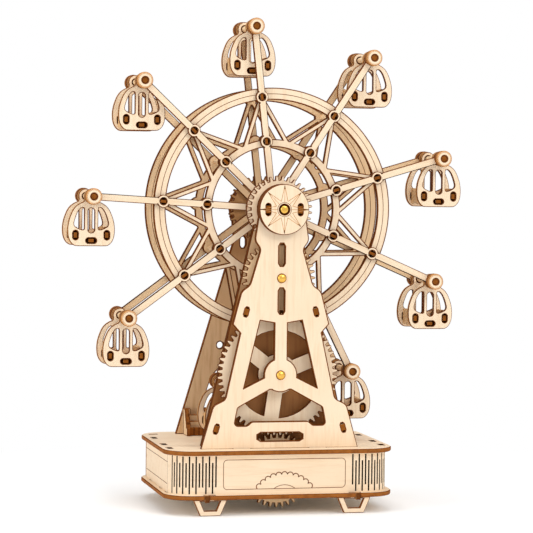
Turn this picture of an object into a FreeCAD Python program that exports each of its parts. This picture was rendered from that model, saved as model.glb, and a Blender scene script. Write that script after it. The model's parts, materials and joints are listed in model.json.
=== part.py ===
import FreeCAD, Part
import math
import os

# Hand-cranked ferris wheel music box, laser-cut from 3 mm basswood ply.
# Millimetres. +Z up, +X to the right, the front (crank train side) faces -Y.
# Origin: centre of the base, on the surface that the four feet stand on.

# --- sheet and fits ---
ply = 3.0                    # thickness of every flat wooden piece
tab_gap = 0.2                # clearance beside a tab in its slot
slot_relief = 1.6            # open length left past each end of a tab
shaft_gap = 0.05             # radial clearance of a shaft in its bore
turn_gap = 0.3               # flat gap between a turning and a fixed piece
disc_step = 0.1              # how far the flats of a round lie inside its circle
repeat_step = 0.35           # the same for the many small rounds of the wheel
ring_step = 0.6              # the same for its rings
slot_end_sides = 3           # flats on the half-round end of a slot

# --- base ---
base_width = 160.0
base_depth = 120.0
base_corner = 20.0           # plan radius of both base plates
foot_height = 11.0
wall_height = 27.0
wall_inset = 4.0             # wall face behind the plate edge
rear_wall_inset = 13.0       # rear wall's outer face, ahead of the plates' back edge
wall_tab = 8.0
wall_tab_places = (-37.0, -15.0, 23.0)
rear_tab = 5.0
rear_tab_inset = 5.0         # rear wall's tab, in from the side wall's face

# --- kerf slots that let the wall bend round its corners ---
kerf_pitch = 2.27
kerf_width = 1.05
kerf_count = 15
kerf_start = (46.0, 49.3)    # slot nearest the middle of the front, left and right
kerf_end_web = 0.8           # wood left at a long slot's end
kerf_short_web = 5.2         # wood left at a short slot's end
kerf_full_from = 5           # on the left, slots past this one alternate full and short

# --- feet ---
foot_x = 50.0
foot_inset = 2.0             # foot face behind the plate edge
foot_top = 23.4
foot_bottom = 14.0
foot_bar = 3.6               # bar along the floor
foot_top_bar = 1.1
foot_side = 4.4              # level width of the sloping sides
foot_tab = 6.0
gear_slot_gap = 1.0          # beside the drive gear in its opening through a plate
foot_key_offset = 2.5        # locking key, outwards of the foot's centre
foot_key_drop = 1.7          # key below the plate
foot_key_length = 11.0

# --- gear train ---
module = 1.375
hub_teeth = 32
middle_teeth = 36
big_teeth = 60
drive_teeth = 36
addendum = 0.95
tooth_depth = 3.1
pressure_angle = 20.0
backlash = 0.2
crank_rise = 13.75           # crank axis above the base's inner floor
big_rim = 30.0               # inner radius of the big gear's rim
big_boss = 14.0
big_spokes = 3
big_spoke = 10.8
big_spoke_turn = 22.0

# --- layers from front to back ---
rim_gap = 30.0               # between the two lattices
tower_gap = 4.5              # front hub disc to inner plate
gear_back_gap = 4.5          # inner plate to gears
gear_front_gap = 5.5         # gears to front plate
rear_tower_gap = 21.0        # rear hub gear to rear plate

# --- shafts and pins ---
axle_r = 2.9                 # brass rod at the hub
pin_r = 2.9                  # brass pins of the middle and big gears
pin_hole_r = 3.45            # open hole round the wheel rod's visible end
pin_stand = 0.6              # pin end proud of the wood
washer_r = 6.0
crank_shaft_r = 2.0

# --- wheel ---
arm_count = 9
wheel_turn = 96.62           # angle of the first arm from +X
gondola_clearance = 2.6      # lowest gondola above the deck
arm_width = 5.0
arm_root = 9.0
boss_r = 4.4
dowel_r = 2.4
outer_dowel_ring = 77.3
inner_dowel_ring = 46.7
outer_ring_in = 75.6
outer_ring_out = 83.2
inner_ring_in = 43.1
inner_ring_out = 47.8
strut_width = 2.5
hub_disc_r = 20.0
end_boss_r = 5.8
cap_r = 6.0
cap_plies = 2
gondola_axle_r = 2.4

# --- gondola, measured down and out from its axle ---
gondola_washer_r = 5.6
gondola_top_r = 6.0
gondola_outline = (
    (6.6, -4.6), (10.8, -8.0), (14.6, -15.8), (16.1, -23.3), (14.9, -29.2), (10.6, -33.9),
)
centre_window = (2.2, -7.4, -24.7)
side_window = ((4.6, -7.8), (7.4, -7.8), (12.1, -19.7), (5.4, -20.8))
rail_x = 10.75
rail_z = -26.4
rail_height = 11.0
floor_drop = 30.1
floor_half = 8.8

# --- towers ---
head_r = 17.0                # round head of the front plate
disc_r = 17.2                # bearing discs and rosette
rosette_slot_x = 11.2
rosette_key = 5.0
key_recess = 0.4             # key's end below the rosette's face
inner_head_r = 21.0
rear_head_r = 19.0
tower_foot = 54.6            # half width of the front and rear plates at the deck
inner_foot = 53.0
tower_tab = 12.0
tower_tab_x = 26.5
inner_neck = (19.5, -8.0)    # from the hub, as the two necks below
front_neck = ((14.4, -26.9), (18.6, -21.2), (16.2, -5.0))
rear_neck = ((15.5, -24.0), (18.0, -6.0))
front_waist = ((27.5, -9.0), (21.7, -4.9))                             # from the middle gear's axis
front_hip = ((46.3, -20.5), (38.0, -16.5), (28.0, 28.8), (33.3, 34.9))  # from the big gear's axis
upper_window = ((4.3, 35.8), (14.8, 37.6), (25.9, -9.2), (4.3, 1.6))
lower_window = ((19.6, -31.8), (22.8, -34.6), (30.3, -34.6), (32.0, -32.8), (29.8, -21.8), (7.5, -9.5))
window_boss = 11.3           # wood left round the big gear's pin
tooth_slot = (33.4, 6.4)     # width and height of the slot where drive and big gear mesh
tooth_slot_drop = 0.7
sight_width = 5.0            # upright slots above and below the middle gear's pin
upper_sight = (16.0, 16.8)   # offset of its centre and its length
lower_sight = (-15.5, 19.0)
upper_spacer = (24.3, -22.8, 14.6)   # x, z from the middle gear's axis, lean
lower_spacer = (44.3, -36.2, 15.9)   # x, z from the big gear's axis, lean
spacer_tab = 4.4
spacer_width = 9.0
rear_window = ((37.0, 18.4), (29.4, 41.3), (25.0, 46.0))   # above the deck
rear_hole_x = 23.0
rear_hole_rise = 63.6
rear_hole_r = 2.75
rear_slot_x = 7.0
rear_slot_drop = 25.0        # below the hub
rear_slot = (9.0, 4.5)

# --- crank ---
crank_clear = 1.5            # crank arm behind the base plates
crank_throw = 18.0
crank_end_r = 6.0
crank_neck = 10.0
knob_r = 4.6
knob_length = 13.0
knob_pin_r = 1.5
knob_pin_stand = 1.2         # rivet head's height over the knob
knob_chamfer = 1.2
bearing_board_width = 40.0
bearing_board_gap = 2.5      # behind the drive gear

# --- music movement inside the base ---
bed_length = 42.0
bed_depth = 34.0
bed_thick = 3.0
bed_x = 12.0
bed_gap = 2.0                # bedplate to the rear wall
arbor_back = 10.0            # cylinder axis behind the bedplate's front edge
worm_r = 3.2
worm_length = 14.0
worm_wheel_r = 3.9
worm_wheel_width = 5.0
drum_gap = 2.0               # worm wheel's rim to the cylinder
cylinder_r = 5.2
cylinder_length = 20.0
arbor_r = 1.0
comb_teeth = 12
comb_thick = 1.0
comb_overhang = 0.7          # comb's heel past the bedplate's back edge
comb_tooth_length = 12.0
comb_tip_gap = 0.5
comb_gap = 0.3               # saw cut between two teeth
comb_taper = 0.3             # each tooth shorter than the last
ear_thick = 2.0
ear_inset = 1.0
ear_half = 3.0               # ear around the arbor

# --- boarding steps behind the wheel ---
step_x = -48.1
step_run = 13.0
step_reach = 3.0             # from the top step to the rear tower plate
step_height = 18.5
step_low = 5.8
step_width = 12.0
step_count = 3
step_post_x = -49.8
step_post_width = 5.3

# Worked-out places.
floor_z = foot_height
wall_z = floor_z + ply
ceiling_z = wall_z + wall_height
deck_z = ceiling_z + ply
crank_z = wall_z + crank_rise
big_z = crank_z + module * (drive_teeth + big_teeth) / 2
middle_z = big_z + module * (big_teeth + middle_teeth) / 2
hub_z = middle_z + module * (middle_teeth + hub_teeth) / 2
gondola_drop = -gondola_outline[-1][1]
wheel_radius = hub_z - deck_z - gondola_drop - gondola_clearance

lattice_y = rim_gap / 2
arm_y = lattice_y + ply
cap_y = arm_y + ply
panel_face = arm_y - ply - turn_gap - ply
cap_face = cap_y + cap_plies * ply
wheel_face = cap_y + ply
inner_y = -(wheel_face + tower_gap + ply)
gear_y = inner_y - gear_back_gap - ply
front_y = gear_y - gear_front_gap - ply
backplate_y = front_y - ply
rosette_y = backplate_y - ply
rear_y = wheel_face + rear_tower_gap
rear_disc_y = rear_y + ply
crank_arm_y = base_depth / 2 + crank_clear
step_front = rear_y - step_reach - step_run
wall_x = base_width / 2 - wall_inset
wall_front = -(base_depth / 2 - wall_inset)
rear_wall_front = base_depth / 2 - rear_wall_inset - ply
rear_tab_place = wall_x - rear_tab_inset
bed_front = rear_wall_front - bed_gap - bed_depth
wall_corner = base_corner - wall_inset


# --- flat shapes in the XZ plane ---
def polygon(points):
    corners = [FreeCAD.Vector(x, 0, z) for x, z in points]
    return Part.Face(Part.makePolygon(corners + [corners[0]]))


def flats(radius, step):
    """How many flats keep a round within a step of its circle."""
    return 2 * math.ceil(math.pi / math.acos(1 - step / radius) / 2)


def disc(x, z, radius, step=disc_step):
    """A round outline whose corners lie on the circle."""
    sides = flats(radius, step)
    turns = [2 * math.pi * (i + 0.5) / sides for i in range(sides)]
    return polygon([(x + radius * math.cos(a), z + radius * math.sin(a)) for a in turns])


def bore(x, z, radius, step=disc_step):
    """A round hole whose flats lie on the circle, so that a shaft of that size turns in it."""
    return disc(x, z, radius / math.cos(math.pi / flats(radius, step)), step)


def rectangle(x, z, width, height):
    half_w = width / 2
    half_h = height / 2
    return polygon([(x - half_w, z - half_h), (x + half_w, z - half_h),
                    (x + half_w, z + half_h), (x - half_w, z + half_h)])


def tilted(shape, x, z, degrees):
    """The shape turned about a point, positive leaning its top towards -X."""
    turned = shape.copy()
    turned.rotate(FreeCAD.Vector(x, 0, z), FreeCAD.Vector(0, -1, 0), degrees)
    return turned


def long_hole(x, z, length, width, tilt=0.0):
    """An upright slot with half-round ends."""
    radius = width / 2
    straight = length / 2 - radius
    points = []
    for end, start in ((1, 0.0), (-1, math.pi)):
        for i in range(slot_end_sides + 1):
            a = start + math.pi * i / slot_end_sides
            points.append((x + radius * math.cos(a), z + end * straight + radius * math.sin(a)))
    return tilted(polygon(points), x, z, tilt)


def tab_slot(x, z, tab, tilt=0.0):
    """The slot for a tab of this length, open past both its ends."""
    return long_hole(x, z, tab + 2 * slot_relief, ply + 2 * tab_gap, tilt)


def mirrored(points):
    """The right half of an outline, bottom to top, and its mirror image."""
    return list(points) + [(-x, z) for x, z in reversed(points)]


def joined(shapes):
    faces = [face for shape in shapes for face in shape.Faces]
    if len(faces) == 1:
        return faces[0]
    return faces[0].fuse(faces[1:]).removeSplitter()


def sheet(faces, holes, front, thickness=ply):
    """A flat piece whose front face lies at y = front."""
    outline = joined(faces)
    if holes:
        outline = outline.cut(Part.makeCompound(holes))
    solids = [face.extrude(FreeCAD.Vector(0, thickness, 0)) for face in outline.Faces]
    result = solids[0] if len(solids) == 1 else Part.makeCompound(solids)
    result.translate(FreeCAD.Vector(0, front, 0))
    return result


def rod(x, z, radius, front, back, step=disc_step):
    return sheet([disc(x, z, radius, step)], [], front, back - front)


def shaft(x, z, radius, front, back):
    """A true round that turns in a bore, or that something turns on."""
    return Part.makeCylinder(radius, back - front, FreeCAD.Vector(x, front, z), FreeCAD.Vector(0, 1, 0))


def cross_rod(y, z, radius, left, right):
    """A rod along X."""
    shape = rod(0, z, radius, left, right)
    shape.rotate(FreeCAD.Vector(0, 0, 0), FreeCAD.Vector(0, 0, 1), -90)
    shape.translate(FreeCAD.Vector(0, y, 0))
    return shape


def block(x0, x1, y0, y1, z0, z1):
    return Part.makeBox(x1 - x0, y1 - y0, z1 - z0, FreeCAD.Vector(x0, y0, z0))


def save(name, shapes):
    shape = shapes if not isinstance(shapes, list) else Part.makeCompound(shapes)
    shape.exportStep("parts/" + name + ".step")


# --- gears ---
def involute(angle):
    return math.tan(angle) - angle


def gear_outline(teeth, z, turn):
    """Involute teeth about (0, z); one tooth is centred at the angle turn, in degrees."""
    pitch_r = module * teeth / 2
    base_r = pitch_r * math.cos(math.radians(pressure_angle))
    tip_r = pitch_r + addendum
    half_pitch_tooth = (math.pi * module / 2 - backlash / 2) / (2 * pitch_r)
    at_pitch = half_pitch_tooth + involute(math.radians(pressure_angle))
    flank = []
    for radius in (tip_r - tooth_depth, tip_r):
        roll = math.acos(min(1.0, base_r / radius))
        flank.append((radius, at_pitch - involute(roll)))
    points = []
    for i in range(teeth):
        centre = math.radians(turn) + 2 * math.pi * i / teeth
        for radius, half in flank:
            points.append((radius * math.cos(centre - half), z + radius * math.sin(centre - half)))
        for radius, half in reversed(flank):
            points.append((radius * math.cos(centre + half), z + radius * math.sin(centre + half)))
    return polygon(points)


def tip_radius(teeth):
    return module * teeth / 2 + addendum


# --- base ---
def rounded_plate(width, depth, corner, bottom):
    """A level plate with rounded corners."""
    plate = block(-width / 2, width / 2, -depth / 2, depth / 2, bottom, bottom + ply)
    uprights = [e for e in plate.Edges if abs(e.Vertexes[0].Z - e.Vertexes[1].Z) > ply / 2]
    return plate.makeFillet(corner, uprights)


def gear_slot(bottom):
    """Opening for the drive gear through a base plate."""
    reach = min(abs(crank_z - bottom), abs(crank_z - bottom - ply))
    half = math.sqrt(tip_radius(drive_teeth) ** 2 - reach ** 2) + gear_slot_gap
    side = 2 * turn_gap
    return block(-half, half, gear_y - side, gear_y + ply + side, bottom, bottom + ply)


def level_slots(bottom):
    """Slots for the wall's tabs in one base plate."""
    cuts = []
    for side in (-1, 1):
        centre = side * (wall_x - ply / 2)
        half = ply / 2 + tab_gap
        for place in wall_tab_places:
            end = wall_tab / 2 + tab_gap
            cuts.append(block(centre - half, centre + half, place - end, place + end, bottom, bottom + ply))
        end = rear_tab / 2 + tab_gap
        x = side * rear_tab_place
        cuts.append(block(x - end, x + end, rear_wall_front - tab_gap, rear_wall_front + ply + tab_gap,
                          bottom, bottom + ply))
    return cuts


def make_deck():
    plate = rounded_plate(base_width, base_depth, base_corner, ceiling_z)
    cuts = [gear_slot(ceiling_z)] + level_slots(ceiling_z)
    half = tower_tab / 2 + tab_gap
    for front in (front_y, inner_y, rear_y):
        for x in (-tower_tab_x, tower_tab_x):
            cuts.append(block(x - half, x + half, front - tab_gap, front + ply + tab_gap, ceiling_z, deck_z))
    save("deck_plate", plate.cut(Part.makeCompound(cuts)))


def foot_places():
    front = -base_depth / 2 + foot_inset
    back = base_depth / 2 - foot_inset - ply
    return [(side * foot_x, y, side) for side in (-1, 1) for y in (front, back)]


def key_box(x, y, side, gap):
    """The locking key of one foot: a board on edge, flush with the plate's rim."""
    centre = x + side * foot_key_offset
    outer = -base_depth / 2 if y < 0 else base_depth / 2 - foot_key_length
    low = floor_z - foot_key_drop
    return block(centre - ply / 2 - gap, centre + ply / 2 + gap, outer - gap,
                 outer + foot_key_length + gap, low - gap, wall_z)


def make_bottom():
    plate = rounded_plate(base_width, base_depth, base_corner, floor_z)
    cuts = [gear_slot(floor_z)] + level_slots(floor_z)
    half = foot_tab / 2 + tab_gap
    for x, y, side in foot_places():
        cuts.append(block(x - half, x + half, y - tab_gap, y + ply + tab_gap, floor_z, wall_z))
        cuts.append(key_box(x, y, side, tab_gap))
    save("bottom_plate", plate.cut(Part.makeCompound(cuts)))


def make_feet():
    feet = []
    keys = []
    for x, y, side in foot_places():
        top = foot_top / 2
        low = foot_bottom / 2
        outline = polygon([(x - low, 0), (x + low, 0), (x + top, floor_z), (x - top, floor_z)])
        tab = rectangle(x, floor_z + ply / 2, foot_tab, ply)
        slope = (foot_top - foot_bottom) / 2 / foot_height
        open_low = low + slope * foot_bar - foot_side
        open_top = top - slope * foot_top_bar - foot_side
        window = polygon([(x - open_low, foot_bar), (x + open_low, foot_bar),
                          (x + open_top, floor_z - foot_top_bar), (x - open_top, floor_z - foot_top_bar)])
        foot = sheet([outline, tab], [window], y)
        feet.append(foot.cut(key_box(x, y, side, tab_gap)))
        keys.append(key_box(x, y, side, 0))
    save("feet", feet)
    save("foot_keys", keys)


def wall_profile():
    """Plan of the bent wall: left side, corner, front, corner, right side."""
    def point(x, y):
        return FreeCAD.Vector(x, y, wall_z)

    def corner(side, radius):
        centre_x = side * (wall_x - wall_corner)
        centre_y = wall_front + wall_corner
        diagonal = radius * math.sqrt(0.5)
        return (point(centre_x + side * radius, centre_y),
                point(centre_x + side * diagonal, centre_y - diagonal),
                point(centre_x, centre_y - radius))

    edges = []
    last = point(-wall_x, rear_wall_front)
    for radius, sides in ((wall_corner, (-1, 1)), (wall_corner - ply, (1, -1))):
        for side in sides:
            bend = corner(side, radius)
            if side != sides[0]:
                bend = tuple(reversed(bend))
            edges.append(Part.makeLine(last, bend[0]))
            edges.append(Part.Arc(*bend).toShape())
            last = bend[2]
        end_x = wall_x if radius == wall_corner else -(wall_x - ply)
        end = point(end_x, rear_wall_front)
        edges.append(Part.makeLine(last, end))
        next_x = wall_x - ply if radius == wall_corner else -wall_x
        last = point(next_x, rear_wall_front)
        edges.append(Part.makeLine(end, last))
    return Part.Face(Part.Wire(edges))


def kerf_cut(side, index):
    """One slot through the wall, set square to it."""
    full = side < 0 and index >= kerf_full_from
    long_low = wall_z + kerf_end_web
    long_high = ceiling_z - kerf_end_web
    if full:
        low = long_low if index % 2 == 0 else wall_z + kerf_short_web
        high = long_high if index % 2 == 0 else ceiling_z - kerf_short_web
    else:
        low = wall_z + kerf_short_web if index % 2 == 0 else long_low
        high = long_high if index % 2 == 0 else ceiling_z - kerf_short_web
    bend_x = wall_x - wall_corner
    along = kerf_start[0 if side < 0 else 1] + index * kerf_pitch
    straight = min(along, bend_x)
    cut = block(-kerf_width / 2, kerf_width / 2, -wall_corner - ply, -wall_corner + 2 * ply, low, high)
    turn = math.degrees((along - straight) / wall_corner)
    cut.rotate(FreeCAD.Vector(0, 0, 0), FreeCAD.Vector(0, 0, 1), side * turn)
    cut.translate(FreeCAD.Vector(side * straight, wall_front + wall_corner, 0))
    return cut


def make_walls():
    wall = wall_profile().extrude(FreeCAD.Vector(0, 0, wall_height))
    wall = wall.cut(Part.makeCompound([kerf_cut(side, i) for side in (-1, 1) for i in range(kerf_count)]))
    tabs = []
    for side in (-1, 1):
        x0, x1 = sorted((side * wall_x, side * (wall_x - ply)))
        for place in wall_tab_places:
            tabs.append(block(x0, x1, place - wall_tab / 2, place + wall_tab / 2, floor_z, wall_z))
            tabs.append(block(x0, x1, place - wall_tab / 2, place + wall_tab / 2, ceiling_z, deck_z))
    save("wall_wrap", wall.fuse(tabs).removeSplitter())
    panel = rectangle(0, (wall_z + ceiling_z) / 2, 2 * wall_x, wall_height)
    ears = [rectangle(side * rear_tab_place, z, rear_tab, ply)
            for side in (-1, 1) for z in (floor_z + ply / 2, ceiling_z + ply / 2)]
    hole = bore(0, crank_z, crank_shaft_r + shaft_gap)
    save("rear_wall", sheet([panel] + ears, [hole], rear_wall_front))


# --- towers ---
def deck_tabs():
    return [rectangle(side * tower_tab_x, ceiling_z + ply / 2, tower_tab, ply) for side in (-1, 1)]


def above(height, points):
    """The points with their second value measured from this height."""
    return [(x, height + rise) for x, rise in points]


def spacer_places():
    """Centres and leans of the boards that hold the front plate off the inner plate."""
    places = []
    for height, (x, rise, lean) in ((middle_z, upper_spacer), (big_z, lower_spacer)):
        places += [(side * x, height + rise, side * lean) for side in (-1, 1)]
    return places


def spacer_slots():
    return [tab_slot(x, z, spacer_tab, lean) for x, z, lean in spacer_places()]


def key_slots():
    """Slots for the two keys beside the wheel's shaft."""
    return [long_hole(x, hub_z, rosette_key + 2 * slot_relief, ply + 2 * tab_gap)
            for x in (-rosette_slot_x, rosette_slot_x)]


def front_windows():
    """The two upper windows and the lower one, round the big gear's pin."""
    upper = polygon(above(big_z, upper_window))
    flipped = upper.mirror(FreeCAD.Vector(0, 0, 0), FreeCAD.Vector(1, 0, 0))
    lower = polygon(mirrored(above(big_z, lower_window)))
    return [face.cut(disc(0, big_z, window_boss)) for face in (upper, flipped, lower)]


def make_front_plate():
    half = [(tower_foot, deck_z)] + above(big_z, front_hip) + above(middle_z, front_waist)
    half += above(hub_z, front_neck)
    slot_z = crank_z + module * drive_teeth / 2 - tooth_slot_drop
    holes = front_windows() + spacer_slots() + key_slots()
    holes.append(tilted(long_hole(0, slot_z, *tooth_slot), 0, slot_z, 90))
    for rise, length in (upper_sight, lower_sight):
        holes.append(long_hole(0, middle_z + rise, length, sight_width))
    holes += [bore(0, z, r) for z, r in ((hub_z, axle_r + shaft_gap), (middle_z, pin_r), (big_z, pin_r))]
    outline = [polygon(mirrored(half)), disc(0, hub_z, head_r)]
    save("front_plate", sheet(outline + deck_tabs(), holes, front_y))


def make_inner_plate():
    half = [(inner_foot, deck_z)] + above(hub_z, [inner_neck])
    holes = [bore(0, hub_z, axle_r + shaft_gap)] + [bore(0, z, pin_r) for z in (middle_z, big_z)]
    holes += spacer_slots()
    outline = [polygon(mirrored(half)), disc(0, hub_z, inner_head_r)]
    save("inner_plate", sheet(outline + deck_tabs(), holes, inner_y))


def make_spacers():
    """Boards between the two front plates; their tabs end flush with both outer faces."""
    boards = []
    for x, z, lean in spacer_places():
        body = sheet([rectangle(x, z, ply, spacer_width)], [], front_y + ply, inner_y - front_y - ply)
        tab = sheet([rectangle(x, z, ply, spacer_tab)], [], front_y, inner_y + ply - front_y)
        boards.append(tilted(body.fuse(tab).removeSplitter(), x, z, lean))
    save("tower_spacers", boards)


def make_rear_plate():
    half = [(tower_foot, deck_z)] + above(hub_z, rear_neck)
    holes = [polygon(mirrored(above(deck_z, rear_window))), bore(0, hub_z, axle_r + shaft_gap)]
    for side in (-1, 1):
        holes.append(disc(side * rear_hole_x, deck_z + rear_hole_rise, rear_hole_r))
        holes.append(long_hole(side * rear_slot_x, hub_z - rear_slot_drop, *rear_slot))
    outline = [polygon(mirrored(half)), disc(0, hub_z, rear_head_r)]
    save("rear_plate", sheet(outline + deck_tabs(), holes, rear_y))


def make_bearing_discs():
    """Back disc and rosette of the front bearing, their two keys, and the rear bearing disc."""
    bearing = bore(0, hub_z, axle_r + shaft_gap)
    round_disc = disc(0, hub_z, disc_r)
    save("bearing_backplate", sheet([round_disc], [bearing] + key_slots(), backplate_y))
    save("rosette_disc", sheet([round_disc], [disc(0, hub_z, pin_hole_r)] + key_slots(), rosette_y))
    keys = [sheet([rectangle(x, hub_z, ply, rosette_key)], [], rosette_y + key_recess, 3 * ply - key_recess)
            for x in (-rosette_slot_x, rosette_slot_x)]
    save("rosette_keys", keys)
    save("rear_bearing_disc", sheet([round_disc], [bearing], rear_disc_y))


def make_pins():
    save("gear_pins", [shaft(0, z, pin_r, front_y - pin_stand, inner_y + ply) for z in (middle_z, big_z)])
    washers = []
    for z in (middle_z, big_z):
        ring = disc(0, z, washer_r, repeat_step)
        hole = bore(0, z, pin_r, repeat_step)
        for front, back in ((front_y + ply, gear_y - turn_gap), (gear_y + ply + turn_gap, inner_y)):
            washers.append(sheet([ring], [hole], front, back - front))
    save("gear_washers", washers)


def make_steps():
    """A short flight up to the platform, between two stringers on edge."""
    pieces = []
    back = step_front + step_run
    for x in (step_x - ply / 2, step_x + step_width):
        low = [(step_front, deck_z), (back, deck_z), (back, deck_z + step_height),
               (back - ply, deck_z + step_height), (step_front + ply, deck_z + step_low),
               (step_front, deck_z + step_low)]
        corners = [FreeCAD.Vector(x, y, z) for y, z in low]
        side = Part.Face(Part.makePolygon(corners + [corners[0]]))
        pieces.append(side.extrude(FreeCAD.Vector(ply, 0, 0)))
    inner = step_x + ply / 2
    rise = (step_height - step_low) / step_count
    for i in range(step_count):
        y = step_front + ply + i * (step_run - ply) / step_count
        top = deck_z + step_low + i * rise
        pieces.append(block(inner, step_x + step_width, y, y + (step_run - ply) / step_count, deck_z, top))
    post = block(step_post_x, step_post_x + step_post_width, back, rear_y, deck_z, deck_z + step_height)
    save("boarding_steps", pieces + [post])


# --- gears ---
def make_gears():
    hub = gear_outline(hub_teeth, hub_z, -90 + 180 / hub_teeth)
    save("hub_gear", sheet([hub], [bore(0, hub_z, axle_r)], gear_y))
    middle = gear_outline(middle_teeth, middle_z, 90)
    save("middle_gear", sheet([middle], [bore(0, middle_z, pin_r + shaft_gap)], gear_y))
    drive = gear_outline(drive_teeth, crank_z, 90)
    save("drive_gear", sheet([drive], [bore(0, crank_z, crank_shaft_r)], gear_y))
    big = gear_outline(big_teeth, big_z, 90 + 180 / big_teeth)
    opening = disc(0, big_z, big_rim).cut(disc(0, big_z, big_boss))
    spoke = rectangle(big_rim / 2, big_z, big_rim + big_spoke / 2, big_spoke)
    spokes = [tilted(spoke, 0, big_z, big_spoke_turn + 360 * i / big_spokes) for i in range(big_spokes)]
    opening = opening.cut(Part.makeCompound(spokes))
    save("big_gear", sheet([big], [opening, bore(0, big_z, pin_r + shaft_gap)], gear_y))
    rear = gear_outline(hub_teeth, hub_z, 90)
    save("rear_hub_gear", sheet([rear], [bore(0, hub_z, axle_r)], cap_y))


# --- wheel ---
def arm_angles():
    return [wheel_turn + 360.0 * i / arm_count for i in range(arm_count)]


def round_the_hub(shape):
    return [tilted(shape, 0, hub_z, angle) for angle in arm_angles()]


def arm_sheet(front):
    """One arm, lying along +X from the hub."""
    rings = ((inner_dowel_ring, boss_r), (outer_dowel_ring, boss_r), (wheel_radius, end_boss_r))
    strip = rectangle((arm_root + wheel_radius) / 2, hub_z, wheel_radius - arm_root, arm_width)
    bosses = [disc(r, hub_z, size, repeat_step) for r, size in rings]
    hole = bore(wheel_radius, hub_z, gondola_axle_r, repeat_step)
    return sheet([strip] + bosses, [hole], front)


def lattice_sheet(front):
    """Outer and inner rings joined by pairs of struts that meet at each outer boss."""
    outer = disc(0, hub_z, outer_ring_out, ring_step).cut(disc(0, hub_z, outer_ring_in, ring_step))
    inner = disc(0, hub_z, inner_ring_out, ring_step).cut(disc(0, hub_z, inner_ring_in, ring_step))
    faces = [outer, inner]
    half_step = math.pi / arm_count
    inner_mid = (inner_ring_in + inner_ring_out) / 2
    inner_end = (inner_mid * math.cos(half_step), inner_mid * math.sin(half_step))
    run_x = outer_dowel_ring - inner_end[0]
    length = math.hypot(run_x, inner_end[1])
    lean = math.degrees(math.atan2(inner_end[1], run_x))
    strut = rectangle(outer_dowel_ring - length / 2, hub_z, length, strut_width)
    for side in (-1, 1):
        faces += round_the_hub(tilted(strut, outer_dowel_ring, hub_z, side * lean))
    faces += round_the_hub(disc(inner_dowel_ring, hub_z, boss_r, repeat_step))
    return sheet(faces, [], front)


def make_wheel():
    save("front_arms", round_the_hub(arm_sheet(-cap_y)))
    save("rear_arms", round_the_hub(arm_sheet(arm_y)))
    save("front_lattice", lattice_sheet(-arm_y))
    save("rear_lattice", lattice_sheet(lattice_y))
    for name, r in (("outer_dowels", outer_dowel_ring), ("inner_dowels", inner_dowel_ring)):
        save(name, round_the_hub(rod(r, hub_z, dowel_r, -lattice_y, lattice_y, repeat_step)))
    save("gondola_axles", round_the_hub(shaft(wheel_radius, hub_z, gondola_axle_r, -cap_y, cap_y)))
    caps = []
    washers = []
    washer = disc(wheel_radius, hub_z, gondola_washer_r, ring_step)
    hole = bore(wheel_radius, hub_z, gondola_axle_r, repeat_step)
    for cap_front, washer_front in ((-cap_face, -arm_y), (cap_y, lattice_y)):
        cap_back = cap_front + cap_face - cap_y
        caps += round_the_hub(rod(wheel_radius, hub_z, cap_r, cap_front, cap_back, repeat_step))
        washers += round_the_hub(sheet([washer], [hole], washer_front))
    save("axle_caps", caps)
    save("gondola_washers", washers)
    save("front_hub_disc", sheet([disc(0, hub_z, hub_disc_r)], [bore(0, hub_z, axle_r)], -wheel_face))
    core = bore(0, hub_z, axle_r, repeat_step)
    stacks = ((front_y + ply + turn_gap, gear_y), (gear_y + ply, inner_y - turn_gap),
              (inner_y + ply + turn_gap, -wheel_face), (wheel_face, rear_y - turn_gap))
    save("hub_spacers", [sheet([disc(0, hub_z, washer_r, repeat_step)], [core], a, b - a) for a, b in stacks])
    save("wheel_axle", shaft(0, hub_z, axle_r, rosette_y - pin_stand, rear_disc_y + ply + pin_stand))


# --- gondolas ---
def gondola_panel(x, z, front):
    crown = [(gondola_top_r * math.cos(a), gondola_top_r * math.sin(a))
             for a in (math.radians(d) for d in (0, 45, 90))]
    half = [(px, pz) for px, pz in reversed(gondola_outline)] + crown[:2]
    points = half + [crown[2]] + [(-px, pz) for px, pz in reversed(half)]
    outline = polygon([(x + px, z + pz) for px, pz in points])
    half_w, top, low = centre_window
    holes = [bore(x, z, gondola_axle_r + shaft_gap, repeat_step),
             rectangle(x, z + (top + low) / 2, 2 * half_w, top - low)]
    for side in (-1, 1):
        holes.append(polygon([(x + side * px, z + pz) for px, pz in side_window]))
    return sheet([outline], holes, front)


def gondola_boards(x, z):
    """Floor and two side rails between the panels."""
    ends = [rectangle(x + side * rail_x, z + rail_z, ply, rail_height) for side in (-1, 1)]
    ends.append(rectangle(x, z - floor_drop, 2 * floor_half, ply))
    return [sheet([end], [], -panel_face, 2 * panel_face) for end in ends]


def make_gondolas():
    for i, angle in enumerate(arm_angles()):
        x = wheel_radius * math.cos(math.radians(angle))
        z = hub_z + wheel_radius * math.sin(math.radians(angle))
        panels = [gondola_panel(x, z, -panel_face - ply), gondola_panel(x, z, panel_face)]
        save("gondola_%d_panels" % (i + 1), panels)
        save("gondola_%d_boards" % (i + 1), gondola_boards(x, z))


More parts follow.
